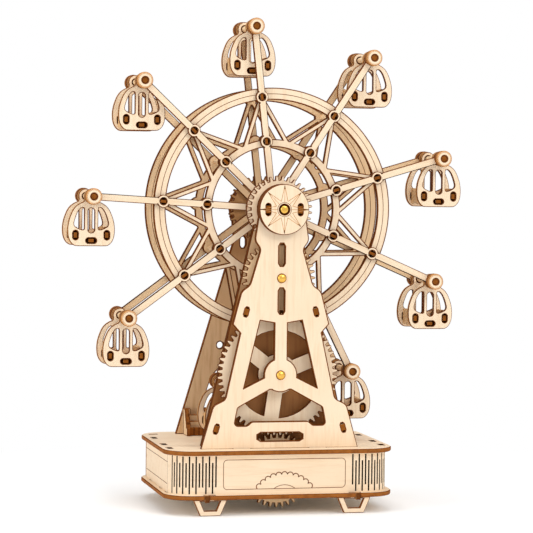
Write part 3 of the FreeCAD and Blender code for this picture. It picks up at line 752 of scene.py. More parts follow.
    @classmethod
    def straight_line(cls, name: str, a: tuple[float, float], b: tuple[float, float], face: float,
                      width: float) -> bpy.types.Object:
        """A scored straight line between two points (x, z) of a face that looks towards -Y."""
        length = math.hypot(b[0] - a[0], b[1] - a[1])
        piece = cls.board(name, (0, face - LINE_DEPTH / 2, -width / 2), (length, face + LINE_DEPTH / 2, width / 2))
        angle = math.degrees(math.atan2(b[1] - a[1], b[0] - a[0]))
        piece.data.transform(Matrix.Translation((a[0], 0, a[1])) @ cls.turn((0, 0), angle))
        return piece

    @staticmethod
    def turn(centre: tuple[float, float], degrees: float) -> Matrix:
        """A turn about a point (x, z), from +X towards +Z."""
        there = Matrix.Translation((centre[0], 0, centre[1]))
        return there @ Matrix.Rotation(-math.radians(degrees), 4, "Y") @ there.inverted()


def coat(piece: bpy.types.Object, *finishes: Finish) -> None:
    """Give a piece these finishes, one material slot each, in this order."""
    piece.data.materials.clear()
    for finish in finishes:
        piece.data.materials.append(finish.material())


def dress_sheet(piece: bpy.types.Object, axis: Axis, face: PlyFace, edge: BurntEdge,
                scorch: float = SCORCH_WIDTH, clamp: bool = False) -> None:
    """Give a flat piece its faces, its burnt walls and the scorched line between them.

    Args:
        piece: One or more sheets that lie the same way.
        axis: The direction square to their faces.
        face: Finish of the faces.
        edge: Finish of the cut walls.
        scorch: Width of the line.
        clamp: Whether the line gets thinner where corners stand close together.
    """
    coat(piece, face, edge, SCORCH_LINE)
    Bench.soften(piece, scorch, material=2, clamp=clamp)
    across = axis.value
    for polygon in piece.data.polygons:
        flat = abs(polygon.normal[across])
        if flat > FACE_SHARE:
            polygon.material_index = 0
        elif flat < WALL_SHARE:
            polygon.material_index = 1
        else:
            polygon.material_index = 2
    mark_layers(piece, axis)
    if face.grain is Grain.ALONG_PIECE:
        mark_rest(piece)


def mark_layers(piece: bpy.types.Object, axis: Axis) -> None:
    """Store how far through its sheet each corner lies, from 0 to 1.

    A sheet starts where the one before ends, give or take the slack; a corner that
    lies no deeper in it than the skin is the end of the one before. Both are in mm.
    """
    slack, skin = 0.2, 0.3
    across = axis.value
    attribute = piece.data.attributes.new(THROUGH, "FLOAT", "POINT")
    places = sorted({round(v.co[across] / MM, 1) for v in piece.data.vertices})
    starts = []
    for place in places:
        if not starts or place > starts[-1] + PLY / MM - slack:
            starts.append(place)
    for vertex, value in zip(piece.data.vertices, attribute.data):
        here = vertex.co[across] / MM
        start = max((s for s in starts if s <= here - skin), default=starts[0])
        value.value = min(1.0, max(0.0, (here - start) * MM / PLY))


def mark_rest(piece: bpy.types.Object) -> None:
    """Store each corner's place as it is now, for grain that turns with the piece."""
    attribute = piece.data.attributes.new(REST, "FLOAT_VECTOR", "POINT")
    for vertex, value in zip(piece.data.vertices, attribute.data):
        value.vector = vertex.co


def dress_ends(piece: bpy.types.Object, axis: Axis, sides: PlyFace | BurntEdge, ends: Scorch) -> None:
    """Give a board its sides and its burnt ends.

    Args:
        piece: One or more boards that lie the same way.
        axis: The direction that their ends face.
        sides: Finish of everything but the ends.
        ends: Finish of the ends.
    """
    coat(piece, sides, ends)
    Bench.soften(piece, END_EASE)
    for polygon in piece.data.polygons:
        polygon.material_index = 1 if abs(polygon.normal[axis.value]) > HALF_SHARE else 0


def seat(piece: bpy.types.Object, body: str, slot: str, *nodes: str) -> None:
    """Fix a finished piece to its body and let it stand for frame nodes.

    Args:
        piece: The finished piece.
        body: The frame body it moves with.
        slot: The record's material slot for its finish; not used.
        nodes: The frame nodes that it stands for.
    """
    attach(piece, body)
    if nodes:
        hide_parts(*nodes)
    LOG.info("%s rides on %s", piece.name, body)


def scorch_rims(piece: bpy.types.Object, axis: Axis, body: str) -> None:
    """Scorched lines along every edge where a sheet's flat faces end.

    Args:
        piece: The sheet, cut to shape but not yet bevelled.
        axis: The direction square to its faces.
        body: The body that it moves with.
    """
    across = axis.value
    rims = Bench.copy(piece, Matrix())
    rims.name = piece.name.replace("_cut", "_rims")
    mesh = rims.data
    flat_sides = [0] * len(mesh.edges)
    for polygon in mesh.polygons:
        if abs(polygon.normal[across]) > FACE_SHARE:
            for corner in polygon.loop_indices:
                flat_sides[mesh.loops[corner].edge_index] += 1
    Bench.pick(rims)
    bpy.ops.object.mode_set(mode="EDIT")
    bpy.ops.mesh.select_mode(type="EDGE")
    bpy.ops.mesh.select_all(action="DESELECT")
    bpy.ops.object.mode_set(mode="OBJECT")
    for edge, count in zip(mesh.edges, flat_sides):
        edge.select = count != 1
    bpy.ops.object.mode_set(mode="EDIT")
    bpy.ops.mesh.delete(type="EDGE")
    bpy.ops.mesh.select_all(action="SELECT")
    bpy.ops.mesh.delete(type="ONLY_FACE")
    bpy.ops.mesh.select_mode(type="VERT")
    bpy.ops.object.mode_set(mode="OBJECT")
    faces = sorted({round(vertex.co[across] / MM, 1) * MM for vertex in mesh.vertices})
    bpy.ops.object.convert(target="CURVE")
    rims.data.bevel_depth = RIM_WIDTH / 2
    rims.data.bevel_resolution = 0
    bpy.ops.object.convert(target="MESH")
    for vertex in rims.data.vertices:
        face = min(faces, key=lambda place: abs(place - vertex.co[across]))
        vertex.co[across] = face + (vertex.co[across] - face) * RIM_RISE
    coat(rims, SCORCH_LINE)
    seat(rims, body, WOOD)


def seat_marks(name: str, marks: list[bpy.types.Object], body: str, finish: Scorch = SCORCH_LINE) -> None:
    """Join marks (scored lines, smoked patches, spots of painted shade) into one piece and fix it to its body."""
    joined = Bench.join(name, marks)
    coat(joined, finish)
    seat(joined, body, WOOD)


def finished_sheet(node: str, body: str, axis: Axis, face: PlyFace, edge: BurntEdge,
                   scorch: float = SCORCH_WIDTH) -> bpy.types.Object:
    """A dressed copy of a flat frame node, in its place.

    Args:
        node: The frame node.
        body: The body that it moves with.
        axis: The direction square to its faces.
        face: Finish of its faces.
        edge: Finish of its walls.
        scorch: Width of the scorched line.

    Returns:
        The dressed copy.
    """
    piece = Bench.cad_copy(node, node + "_cut")
    dress_sheet(piece, axis, face, edge, scorch)
    seat(piece, body, WOOD, node)
    return piece


def finished_ends(node: str, name: str, sides: PlyFace, ends: Scorch) -> None:
    """A copy of boards that stand square to the base's front, with burnt ends, in its place.

    Args:
        node: The frame node.
        name: The copy's name.
        sides: Finish of the boards' sides.
        ends: Finish of their ends.
    """
    piece = Bench.cad_copy(node, name)
    dress_ends(piece, Axis.Y, sides, ends)
    seat(piece, "base", WOOD, node)


# --- sub-assemblies ---
@dataclass
class MusicBoxBase:
    """The base: two plates, the bent wall, the rear wall and four feet."""

    bend: float = 16.0 * MM
    slot_scorch: float = 0.24 * MM
    panel_x: float = 1.65 * MM
    panel_half: float = 42.45 * MM
    panel_low: float = 17.5 * MM
    panel_high: float = 37.5 * MM
    panel_corner: float = 2.7 * MM
    line: float = 0.42 * MM
    arch_x: float = 1.5 * MM
    arch_half: float = 18.8 * MM
    arch_rise: float = 9.5 * MM
    bumps: int = 11
    small_arch: tuple[float, float] = (7.4 * MM, 2.5 * MM)
    side_lines: tuple[float, float] = (0.23, 0.78)
    smoke: float = 5.4 * MM
    smoke_places: tuple[float, float] = (0.6 * MM, 49.6 * MM)
    smoke_place_below: float = 1.0 * MM
    bump_line: float = 1.5
    side_inset: float = 1.5 * MM
    lining: float = 0.3 * MM
    shade_sheet_inset: float = 0.2 * MM
    shade_sheet_reach: float = 0.9
    shade_sheet_lap: float = 1.0 * MM
    end_band: float = 0.1 * MM
    tab_band: float = 0.01 * MM
    smoke_proud: float = 0.03 * MM
    smoke_inset: float = 0.25 * MM

    def build(self) -> None:
        """Dress the plates and walls and score the front panel."""
        for node in ("deck_plate", "bottom_plate"):
            finished_sheet(node, "base", Axis.Z, PALE_PLY_ACROSS, LIGHT_EDGE)
        finished_sheet("rear_wall", "base", Axis.Y, PALE_PLY_ACROSS, LIGHT_EDGE)
        finished_sheet("feet", "base", Axis.Y, PALE_PLY_ACROSS, LIGHT_EDGE)
        finished_ends("foot_keys", "foot_keys_cut", TAN_AND_SHADE_PLY, KEY_END)
        self.build_wall()
        self.score_front()
        self.score_sides()
        self.smoke_edges()

    def build_wall(self) -> None:
        """Dress the bent wall: pale outside, burnt on its ends, and painted near-black as shade in its slots and on
        its tabs' tops.
        """
        wall = Bench.cad_copy("wall_wrap", "wall_wrap_cut")
        coat(wall, PALE_PLY_ACROSS, LIGHT_EDGE, PAINTED_SHADE_BLACK)
        Bench.soften(wall, self.slot_scorch)
        low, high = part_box("wall_wrap")
        top, bottom = high.z - PLY, low.z + PLY
        bend_x, bend_y = high.x - self.bend, low.y + self.bend
        for polygon in wall.data.polygons:
            centre, normal = polygon.center, polygon.normal
            outward = Vector((math.copysign(1, centre.x), 0, 0))
            if centre.y < bend_y:
                outward = Vector((0, -1, 0))
                if abs(centre.x) > bend_x:
                    corner_x = math.copysign(bend_x, centre.x)
                    outward = Vector((centre.x - corner_x, centre.y - bend_y, 0)).normalized()
            on_end = (abs(normal.z) > SQUARE_SHARE
                      and not bottom + self.end_band <= centre.z <= top - self.end_band)
            if abs(normal.dot(outward)) > SQUARE_SHARE:
                polygon.material_index = 0
            else:
                # painted shade: the slots' walls take the near-black
                polygon.material_index = 1 if on_end or centre.y > bend_y else 2
            # painted shade: the tabs' tops, seen in the deck's holes, take the near-black
            if centre.z > high.z - self.tab_band:
                polygon.material_index = 2
        mark_layers(wall, Axis.Y)
        seat(wall, "base", WOOD, "wall_wrap")
        self.paint_slot_shade(low.y + PLY, high.x - PLY, bottom + self.shade_sheet_inset, top - self.shade_sheet_inset)

    def paint_slot_shade(self, front: float, side: float, bottom: float, top: float) -> None:
        """A black sheet of painted shade behind the slots of both corners, so that they read dark.

        Args:
            front: y of the front wall's inner face.
            side: x of the side wall's inner face.
            bottom: Height of the sheet's lower end.
            top: Height of its upper end.
        """
        gap = thick = self.lining
        reach = self.bend * self.shade_sheet_reach
        shade_sheets = []
        for hand in (-1, 1):
            flat = Bench.board("lining", (side - self.bend * 2, front + gap, bottom),
                               (side - reach + self.shade_sheet_lap, front + gap + thick, top))
            leaning = Bench.board("lining", (-reach * 0.75, -thick / 2, bottom), (reach * 0.75, thick / 2, top))
            leaning.data.transform(Matrix.Translation((side - reach / 2, front + gap + reach / 2, 0))
                                   @ Matrix.Rotation(math.radians(45), 4, "Z"))
            for board in (flat, leaning):
                board.data.transform(Matrix.Diagonal((hand, 1, 1, 1)))
                if hand < 0:
                    board.data.flip_normals()
                shade_sheets.append(board)
        seat_marks("slot_lining", shade_sheets, "base", PAINTED_SHADE_BLACK)

    def score_front(self) -> None:
        """Score the front panel's frame and its cog-edged arch."""
        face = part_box("wall_wrap")[0].y
        left, right = self.panel_x - self.panel_half, self.panel_x + self.panel_half
        low, high, r = self.panel_low, self.panel_high, self.panel_corner
        sides = (((left + r, low), (right - r, low)), ((left + r, high), (right - r, high)),
                 ((left, low + r), (left, high - r)), ((right, low + r), (right, high - r)))
        lines = [Bench.straight_line("panel_line", a, b, face, self.line) for a, b in sides]
        for x, z, start in ((right - r, high - r, 0), (left + r, high - r, 90),
                            (left + r, low + r, 180), (right - r, low + r, 270)):
            lines.append(Bench.arc_line("panel_line", (x, z), r, start, 90, face, self.line))
        radius = (self.arch_half ** 2 + self.arch_rise ** 2) / (2 * self.arch_rise)
        centre_z = low + self.arch_rise - radius
        spread = 2 * math.degrees(math.asin(self.arch_half / radius))
        step = spread / self.bumps
        bump = radius * math.sin(math.radians(step / 2))
        for i in range(self.bumps):
            middle = 90 - spread / 2 + (i + 0.5) * step
            a = math.radians(middle)
            x, z = self.arch_x + radius * math.cos(a), centre_z + radius * math.sin(a)
            lines.append(Bench.arc_line("panel_line", (x, z), bump, middle - 90, 180, face,
                                        self.line * self.bump_line))
        small_half, small_rise = self.small_arch
        small = (small_half ** 2 + small_rise ** 2) / (2 * small_rise)
        sweep = 2 * math.degrees(math.asin(small_half / small))
        lines.append(Bench.arc_line("panel_line", (self.arch_x, low + small_rise - small), small, 90 - sweep / 2,
                                    sweep, face, self.line))
        seat_marks("panel_scoring", lines, "base")

    def score_sides(self) -> None:
        """Score two level lines and an upright one on each side wall."""
        low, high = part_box("wall_wrap")
        front, back = low.y + self.bend + self.side_inset, high.y - self.side_inset
        top, bottom = high.z - PLY, low.z + PLY
        half, depth = self.line / 2, LINE_DEPTH / 2
        lines = []
        for x in (low.x, high.x):
            for share in self.side_lines:
                z = top - share * (top - bottom)
                lines.append(Bench.board("side_line", (x - depth, front, z - half), (x + depth, back, z + half)))
            lines.append(Bench.board("side_line", (x - depth, front - half, bottom), (x + depth, front + half, top)))
        seat_marks("side_scoring", lines, "base")

    def smoke_edges(self) -> None:
        """Short smoked stretches on the plates' front edges."""
        patches = []
        for node, places in (("deck_plate", self.smoke_places), ("bottom_plate", (self.smoke_place_below,))):
            low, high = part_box(node)
            for x in places:
                front, half = low.y - self.smoke_proud, self.smoke / 2
                patches.append(Bench.board("patch", (x - half, front, low.z + self.smoke_inset),
                                           (x + half, low.y + SHADE_AND_SMOKE_DEPTH, high.z - self.smoke_inset)))
        seat_marks("smoked_stretches", patches, "base", SMOKED)


@dataclass
class Towers:
    """The front and rear towers, the rosette and the brass pins."""

    star_tip: float = 16.2 * MM
    star_waist: float = 6.0 * MM
    ring: float = 4.8 * MM
    slot_x: float = 11.2 * MM
    slot_length: float = 8.2 * MM
    slot_width: float = 3.4 * MM
    hole: float = 3.6 * MM
    hole_painted_shade: float = 1.0 * MM
    slot_painted_shade: tuple[float, float] = (-0.4 * MM, 0.2 * MM)
    slot_gap: float = 0.1 * MM
    line: float = 0.34 * MM
    dome: float = 1.5 * MM
    spacers: tuple[tuple[float, float, float], ...] = ((24.3, 136.95, 14.6), (44.3, 57.55, 15.9))
    spacer_slot: tuple[float, float] = (7.5 * MM, 3.3 * MM)
    spacer_painted_shade: tuple[float, float] = (0.8 * MM, 0.4 * MM)
    inner_side: tuple[tuple[float, float], ...] = ((51.6, -162.5), (15.2, -8.0))
    rear_side: tuple[tuple[float, float], ...] = ((54.6, -162.5), (13.6, -24.0), (15.2, -6.0))
    trim: float = 14.0 * MM
    window_rounding: tuple[float, float] = (1.0 * MM, 1.8 * MM)
    outline_rounding: float = 2.2 * MM
    ray_ridge: float = 0.8
    tip_line: float = 1.6
    tip_start: float = 0.86
    key_line: float = 2.0
    key_line_end: float = 17.0 * MM
    dome_steps: tuple[float, ...] = (0.92, 0.76, 0.52, 0.22)

    def build(self) -> None:
        """Dress the plates and build the bearing's rosette and the pins."""
        self.build_front_plate()
        # painted shade: the inner and rear plates' faces change tone with height
        self.build_slim_plate("inner_plate", PAINTED_SHADE_INNER_PLY, DARK_EDGE, self.inner_side)
        self.build_slim_plate("rear_plate", PAINTED_SHADE_REAR_PLY, LIGHT_EDGE, self.rear_side)
        self.build_slim_plate("rear_bearing_disc", PALE_PLY, LIGHT_EDGE, (self.rear_side[-1],))
        finished_ends("tower_spacers", "tower_spacers_cut", HONEY_AND_SHADE_PLY, TAB_END)
        self.paint_spacer_slot_shade()
        self.build_rosette()
        self.score_star()
        self.build_pins()

    def paint_spacer_slot_shade(self) -> None:
        """Black painted shade at the bottom of the slots that the spacers' tabs stand in."""
        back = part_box("front_plate")[1].y
        length, width = self.spacer_slot
        spots = []
        for x, z, lean in self.spacers:
            for side in (-1, 1):
                spot = Bench.stadium("soot", side * x * MM, z * MM, length, width,
                                     *(back - depth for depth in self.spacer_painted_shade))
                spot.data.transform(Bench.turn((side * x * MM, z * MM), side * lean))
                spots.append(spot)
        seat_marks("spacer_slot_soot", spots, "base", PAINTED_SHADE_BLACK)

    def build_slim_plate(self, node: str, face: PlyFace, edge: BurntEdge,
                         side: tuple[tuple[float, float], ...]) -> None:
        """A plate trimmed to slimmer sides and a smaller round head.

        Args:
            node: The frame node that it stands for.
            face: Finish of its faces.
            edge: Finish of its walls.
            side: Points of its right side, out and up from the hub in mm, the last where the head begins.
        """
        low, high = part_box("wheel_axle")
        hub = (0, (low.z + high.z) / 2)
        low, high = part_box(node)
        front, back = low.y - PLY, high.y + PLY
        plate = Bench.cad_copy(node, node + "_cut")
        neck = math.degrees(math.atan2(side[-1][1], side[-1][0]))
        radius = math.hypot(*side[-1]) * MM
        tools = [Bench.hoop("tool", hub, (radius, radius + self.trim), front, back, neck, 180 - 2 * neck)]
        if len(side) > 1:
            far = side[0][0] + self.trim / MM
            corners = (*side, (far, side[-1][1]), (far, side[0][1]))
            for hand in (-1, 1):
                outline = [(hand * x * MM, hub[1] + z * MM) for x, z in corners]
                tools.append(Bench.plate("tool", outline, front, back))
        Bench.cut(plate, *tools)
        Bench.merge(plate)
        scorch_rims(plate, Axis.Y, "base")
        dress_sheet(plate, Axis.Y, face, edge, clamp=True)
        seat(plate, "base", WOOD, node)

    def build_front_plate(self) -> None:
        """The front plate, with the corners of its windows, hips and waist rounded."""
        big_z = sum(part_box("big_gear")[i].z for i in (0, 1)) / 2
        middle_z = sum(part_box("middle_gear")[i].z for i in (0, 1)) / 2
        plate = Bench.cad_copy("front_plate", "front_plate_cut")
        lower, upper = self.window_rounding
        outer = self.outline_rounding
        for radius, steps, base, (left, low), (right, high) in (
                (lower, 4, big_z, (0, -35.5), (34, -12)),
                (upper, 4, big_z, (0, -12), (34, 39)),
                (outer, 5, big_z, (33, -24), (50, 37)),
                (outer, 5, middle_z, (18, -12), (30, 0)),
                (outer, 5, middle_z, (12, 15), (20, 30))):
            Bench.round_corners(plate, radius, steps, (left * MM, base + low * MM), (right * MM, base + high * MM))
        scorch_rims(plate, Axis.Y, "base")
        dress_sheet(plate, Axis.Y, PALE_PLY, DARK_EDGE, clamp=True)
        seat(plate, "base", WOOD, "front_plate")

    def rosette_blank(self, name: str, front: float, hub: Vector, radius: float) -> bpy.types.Object:
        """One round of the front bearing, with its two key slots and its hole."""
        back = front + PLY
        piece = Bench.disc(name, hub.x, hub.z, radius, front, back, ROSETTE_SIDES)
        Bench.drill(piece, hub.x, hub.z, self.hole, front, back, BOSS_SIDES)
        for side in (-1, 1):
            Bench.cut(piece, Bench.stadium("tool", hub.x + side * self.slot_x, hub.z, self.slot_length,
                                           self.slot_width, front - PLY, back + PLY))
        return piece

    def build_rosette(self) -> None:
        """Both rounds of the front bearing, and the keys in their slots, with black painted shade in the slots and
        round the rod.
        """
        low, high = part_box("rosette_disc")
        hub = (low + high) / 2
        radius = (high.z - low.z) / 2
        for node in ("rosette_disc", "bearing_backplate"):
            piece = self.rosette_blank(node + "_cut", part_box(node)[0].y, hub, radius)
            dress_sheet(piece, Axis.Y, PALE_PLY, DARK_EDGE)
            seat(piece, "base", WOOD, node)
        finished_ends("rosette_keys", "rosette_key_ends", HONEY_AND_SHADE_PLY, TAB_END)
        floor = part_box("front_plate")[0].y
        soot = [Bench.stadium("soot", hub.x + side * self.slot_x, hub.z, self.slot_length - self.slot_gap,
                              self.slot_width - self.slot_gap, *(floor + rise for rise in self.slot_painted_shade))
                for side in (-1, 1)]
        soot.append(self.washer("soot", hub, self.hole - RUN, low.y + self.hole_painted_shade, floor))
        seat_marks("rosette_soot", soot, "base", PAINTED_SHADE_BLACK)

    @staticmethod
    def washer(name: str, hub: Vector, radius: float, front: float, back: float) -> bpy.types.Object:
        """A thin ring that fills the gap round the wheel's rod, for the black painted shade there."""
        low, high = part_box("wheel_axle")
        piece = Bench.disc(name, hub.x, hub.z, radius, front, back, BOSS_SIDES)
        Bench.drill(piece, hub.x, hub.z, (high.z - low.z) / 2 + RUN, front, back, BOSS_SIDES)
        return piece

    def score_star(self) -> None:
        """Score the ring and the eight rays, each with a ridge line."""
        low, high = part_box("rosette_disc")
        hub, face = (low + high) / 2, low.y
        lines = [Bench.arc_line("star_line", (hub.x, hub.z), self.ring, 0, 360, face, self.line)]

        def at(distance: float, angle: float) -> tuple[float, float]:
            """The point this far from the hub at this angle."""
            return hub.x + distance * math.cos(angle), hub.z + distance * math.sin(angle)

        rays = []
        for ray in range(8):
            angle = math.radians(45 * ray)
            tip, ridge = at(self.star_tip, angle), at(self.ring, angle)
            rays.append(Bench.straight_line("ray_line", ridge, tip, face, self.line * self.ray_ridge))
            lines.append(Bench.straight_line("star_line", at(self.star_tip * self.tip_start, angle), tip, face,
                                             self.line * self.tip_line))
            for side in (-1, 1):
                foot = at(self.star_waist, angle + side * math.radians(22.5))
                rays.append(Bench.straight_line("ray_line", foot, tip, face, self.line))
        for side in (-1, 1):
            start = (hub.x + side * (self.slot_x + self.slot_width / 2), hub.z)
            end = (hub.x + side * self.key_line_end, hub.z)
            lines.append(Bench.straight_line("star_line", start, end, face, self.line * self.key_line))
        seat_marks("rosette_star", lines, "base")
        seat_marks("rosette_rays", rays, "base", SCORCHED_RIM)

    def build_pins(self) -> None:
        """Brass pins with domed ends for the middle and big gears."""
        low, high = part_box("gear_pins")
        radius = (high.x - low.x) / 2
        domes = []
        for z in (low.z + radius, high.z - radius):
            pin = Bench.disc("gear_pin", 0, z, radius, low.y, high.y, BOSS_SIDES)
            domes.append(self.domed(pin, low.y, z, radius))
        piece = Bench.join("gear_pin_rods", domes)
        coat(piece, BRASS)
        seat(piece, "base", "brass", "gear_pins")

    def domed(self, pin: bpy.types.Object, end: float, z: float, radius: float) -> bpy.types.Object:
        """Round a pin's front end into a low dome.

        Args:
            pin: The pin.
            end: y of its flat front end.
            z: Height of its axis.
            radius: Its radius.

        Returns:
            The domed pin.
        """
        Bench.pick(pin)
        for step in self.dome_steps:
            share = math.sqrt(1 - step ** 2)
            bpy.ops.object.mode_set(mode="EDIT")
            bpy.ops.mesh.select_all(action="DESELECT")
            bpy.ops.object.mode_set(mode="OBJECT")
            front = min(v.co.y for v in pin.data.vertices)
            for polygon in pin.data.polygons:
                polygon.select = abs(polygon.center.y - front) < SEAM and abs(polygon.normal.y) > SQUARE_SHARE
            bpy.ops.object.mode_set(mode="EDIT")
            bpy.ops.mesh.extrude_region_move()
            bpy.ops.object.mode_set(mode="OBJECT")
            for vertex in pin.data.vertices:
                if vertex.select:
                    reach = math.hypot(vertex.co.x, vertex.co.z - z)
                    scale = radius * step / reach
                    vertex.co.x *= scale
                    vertex.co.z = z + (vertex.co.z - z) * scale
                    vertex.co.y = end - self.dome * share
        bpy.ops.object.shade_smooth_by_angle(angle=math.radians(BEVEL_ANGLE))
        return pin


@dataclass
class GearTrain:
    """The cut gears and the plain rounds beside them."""

    faces: dict[str, tuple[str, PlyFace]] = field(default_factory=lambda: {
        "hub_gear": ("wheel", PALE_PLY),
        # painted shade: the rear hub gear takes the dark tan ply
        "rear_hub_gear": ("wheel", TAN_AND_SHADE_PLY),
        "middle_gear": ("middle_gear", HONEY_AND_SHADE_PLY),
        "big_gear": ("big_gear", PALE_PLY),
        "drive_gear": ("crank", HONEY_AND_SHADE_PLY),
        "front_hub_disc": ("wheel", PALE_PLY),
    })
    scorch: float = 0.38 * MM

    def build(self) -> None:
        """Dress each gear, and the spacers and washers on its shaft."""
        for node, (body, face) in self.faces.items():
            finished_sheet(node, body, Axis.Y, face, DARK_EDGE, self.scorch)
        for node, body in (("hub_spacers", "wheel"), ("gear_washers", "base")):
            piece = Bench.cad_copy(node, node + "_cut")
            coat(piece, HONEY_AND_SHADE_PLY, LIGHT_EDGE)
            for polygon in piece.data.polygons:
                polygon.material_index = 0 if abs(polygon.normal.y) > SQUARE_SHARE else 1
            mark_layers(piece, Axis.Y)
            seat(piece, body, WOOD, node)


@dataclass
class Wheel:
    """The turning wheel: arms, lattices, cross bars, axles and caps."""

    turn: float = 96.62
    arms: int = 9
    inner_boss: float = 46.7 * MM
    outer_boss: float = 77.3 * MM
    reach: float = 126.0 * MM
    root: float = 9.0 * MM
    arm_width: float = 5.0 * MM
    boss: float = 4.4 * MM
    end_boss: float = 5.4 * MM
    washer: float = 5.2 * MM
    hole: float = 2.4 * MM
    outer_ring: tuple[float, float] = (75.6 * MM, 83.2 * MM)
    inner_ring: tuple[float, float] = (43.1 * MM, 47.8 * MM)
    strut: float = 2.5 * MM
    scored_ring: float = 79.3 * MM
    cap: float = 5.6 * MM
    cap_hole: float = 2.15 * MM
    cap_ease: float = 0.7 * MM
    cap_groove: float = 4.5 * MM
    bar: tuple[float, float] = (4.0 * MM, 1.9 * MM)
    recess: float = 0.5 * MM
    rod_dome: float = 1.4 * MM
    ring_line: float = 0.42 * MM
    groove_line: float = 0.30 * MM
    axle_fit: float = 0.80
    axle_recess: float = 1.0 * MM
    axle_painted_shade: float = 1.6 * MM
    grain_shift: float = 0.031
    painted_shade_gap: float = 0.02 * MM
    blank_spare: float = 2 * MM
    middle_spare: float = 4 * MM

    def __post_init__(self) -> None:
        """Take the hub's height from the frame."""
        low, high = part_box("wheel_axle")
        self.hub_z = (low.z + high.z) / 2

    def angles(self) -> list[float]:
        """Each arm's angle from +X, in degrees."""
        return [self.turn + 360 * i / self.arms for i in range(self.arms)]

    def round_the_hub(self, name: str, piece: bpy.types.Object) -> bpy.types.Object:
        """Copy a piece that lies along +X to every arm.

        Args:
            name: The name of the result.
            piece: What is copied, and then thrown away.

        Returns:
            All the copies as one object.
        """
        copies = []
        for i, angle in enumerate(self.angles()):
            made = Bench.copy(piece, Bench.turn((0, self.hub_z), angle))
            if REST in made.data.attributes:
                for value in made.data.attributes[REST].data:
                    value.vector = value.vector + Vector((0, 0, self.grain_shift * i))
            copies.append(made)
        bpy.data.objects.remove(piece)
        return Bench.join(name, copies)

    def build(self) -> None:
        """Build both sides of the wheel and what joins them."""
        self.build_arms()
        self.build_lattices()
        self.build_bars()
        self.build_caps()
        self.build_axles()

    def build_arms(self) -> None:
        """Arms with round bosses, open at each boss, and the washers behind their ends."""
        # painted shade: the rear arms are darker than the front ones
        for node, face in (("front_arms", PALE_PLY_ALONG), ("rear_arms", HONEY_AND_SHADE_PLY_ALONG)):
            low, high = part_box(node)
            arm = Bench.board("arm", (self.root, low.y, self.hub_z - self.arm_width / 2),
                              (self.reach, high.y, self.hub_z + self.arm_width / 2))
            for r, size in ((self.inner_boss, self.boss), (self.outer_boss, self.boss), (self.reach, self.end_boss)):
                Bench.add(arm, Bench.disc("boss", r, self.hub_z, size, low.y, high.y, BOSS_SIDES))
            for r in (self.inner_boss, self.outer_boss, self.reach):
                Bench.drill(arm, r, self.hub_z, self.hole, low.y, high.y)
            dress_sheet(arm, Axis.Y, face, DARK_EDGE)
            seat(self.round_the_hub(node + "_cut", arm), "wheel", WOOD, node)
        low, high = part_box("gondola_washers")
        rings = []
        for front in (low.y, high.y - PLY):
            ring = Bench.disc("washer", self.reach, self.hub_z, self.washer, front, front + PLY, BOSS_SIDES)
            Bench.drill(ring, self.reach, self.hub_z, self.hole, front, front + PLY)
            rings.append(ring)
        washers = Bench.join("washers", rings)
        dress_sheet(washers, Axis.Y, HONEY_AND_SHADE_PLY, TOASTED_EDGE)
        seat(self.round_the_hub("gondola_washers_cut", washers), "wheel", WOOD, "gondola_washers")

    def build_lattices(self) -> None:
        """Rings and struts cut as one sheet, with a scored ring on the front face."""
        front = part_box("front_lattice")[0]
        radii = (self.inner_ring[0] - self.blank_spare, self.outer_ring[1])
        blank = Bench.hoop("lattice_blank", (0, self.hub_z), radii, front.y, front.y + PLY)
        Bench.cut(blank, *self.window_tools(front.y - PLY, front.y + 2 * PLY))
        # painted shade: the rear lattice is darker than the front one
        for node, face in (("front_lattice", PALE_PLY), ("rear_lattice", HONEY_AND_SHADE_PLY)):
            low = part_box(node)[0]
            sheet = Bench.copy(blank, Matrix.Translation((0, low.y - front.y, 0)))
            sheet.name = node + "_cut"
            scorch_rims(sheet, Axis.Y, "wheel")
            dress_sheet(sheet, Axis.Y, face, DARK_EDGE, clamp=True)
            seat(sheet, "wheel", WOOD, node)
            line = Bench.arc_line("ring_line", (0, self.hub_z), self.scored_ring, 0, 360, low.y, self.ring_line)
            seat_marks(node + "_scoring", [line], "wheel")
        bpy.data.objects.remove(blank)

    def window_tools(self, front: float, back: float) -> list[bpy.types.Object]:
        """What is cut from a lattice's blank: its windows and its open middle."""
        hub = (0, self.hub_z)
        windows = Bench.hoop("windows", hub, (self.inner_ring[1], self.outer_ring[0]), front, back)
        Bench.cut(windows, *self.struts(front - PLY, back + PLY))
        open_radii = (self.inner_ring[0] - self.middle_spare, self.inner_ring[0])
        middle = Bench.hoop("middle", hub, open_radii, front, back)
        for angle in self.angles():
            for tool, reach in ((windows, self.inner_boss), (middle, self.inner_boss), (windows, self.outer_boss)):
                boss = Bench.disc("boss", reach, self.hub_z, self.boss, front - PLY, back + PLY, BOSS_SIDES)
                boss.data.transform(Bench.turn((0, self.hub_z), angle))
                Bench.cut(tool, boss)
        return [windows, middle]

    def struts(self, front: float, back: float) -> list[bpy.types.Object]:
        """The eighteen struts that run from the outer bosses to the inner ring."""
        middle = (self.inner_ring[0] + self.inner_ring[1]) / 2
        half_step = math.pi / self.arms
        end = Vector((middle * math.cos(half_step), middle * math.sin(half_step)))
        run = self.outer_boss - end.x
        length = math.hypot(run, end.y)
        lean = math.degrees(math.atan2(end.y, run))
        made = []
        for angle in self.angles():
            for side in (-1, 1):
                strut = Bench.board("strut", (self.outer_boss - length, front, self.hub_z - self.strut / 2),
                                    (self.outer_boss, back, self.hub_z + self.strut / 2))
                strut.data.transform(Bench.turn((self.outer_boss, self.hub_z), side * lean))
                strut.data.transform(Bench.turn((0, self.hub_z), angle))
                made.append(strut)
        return made

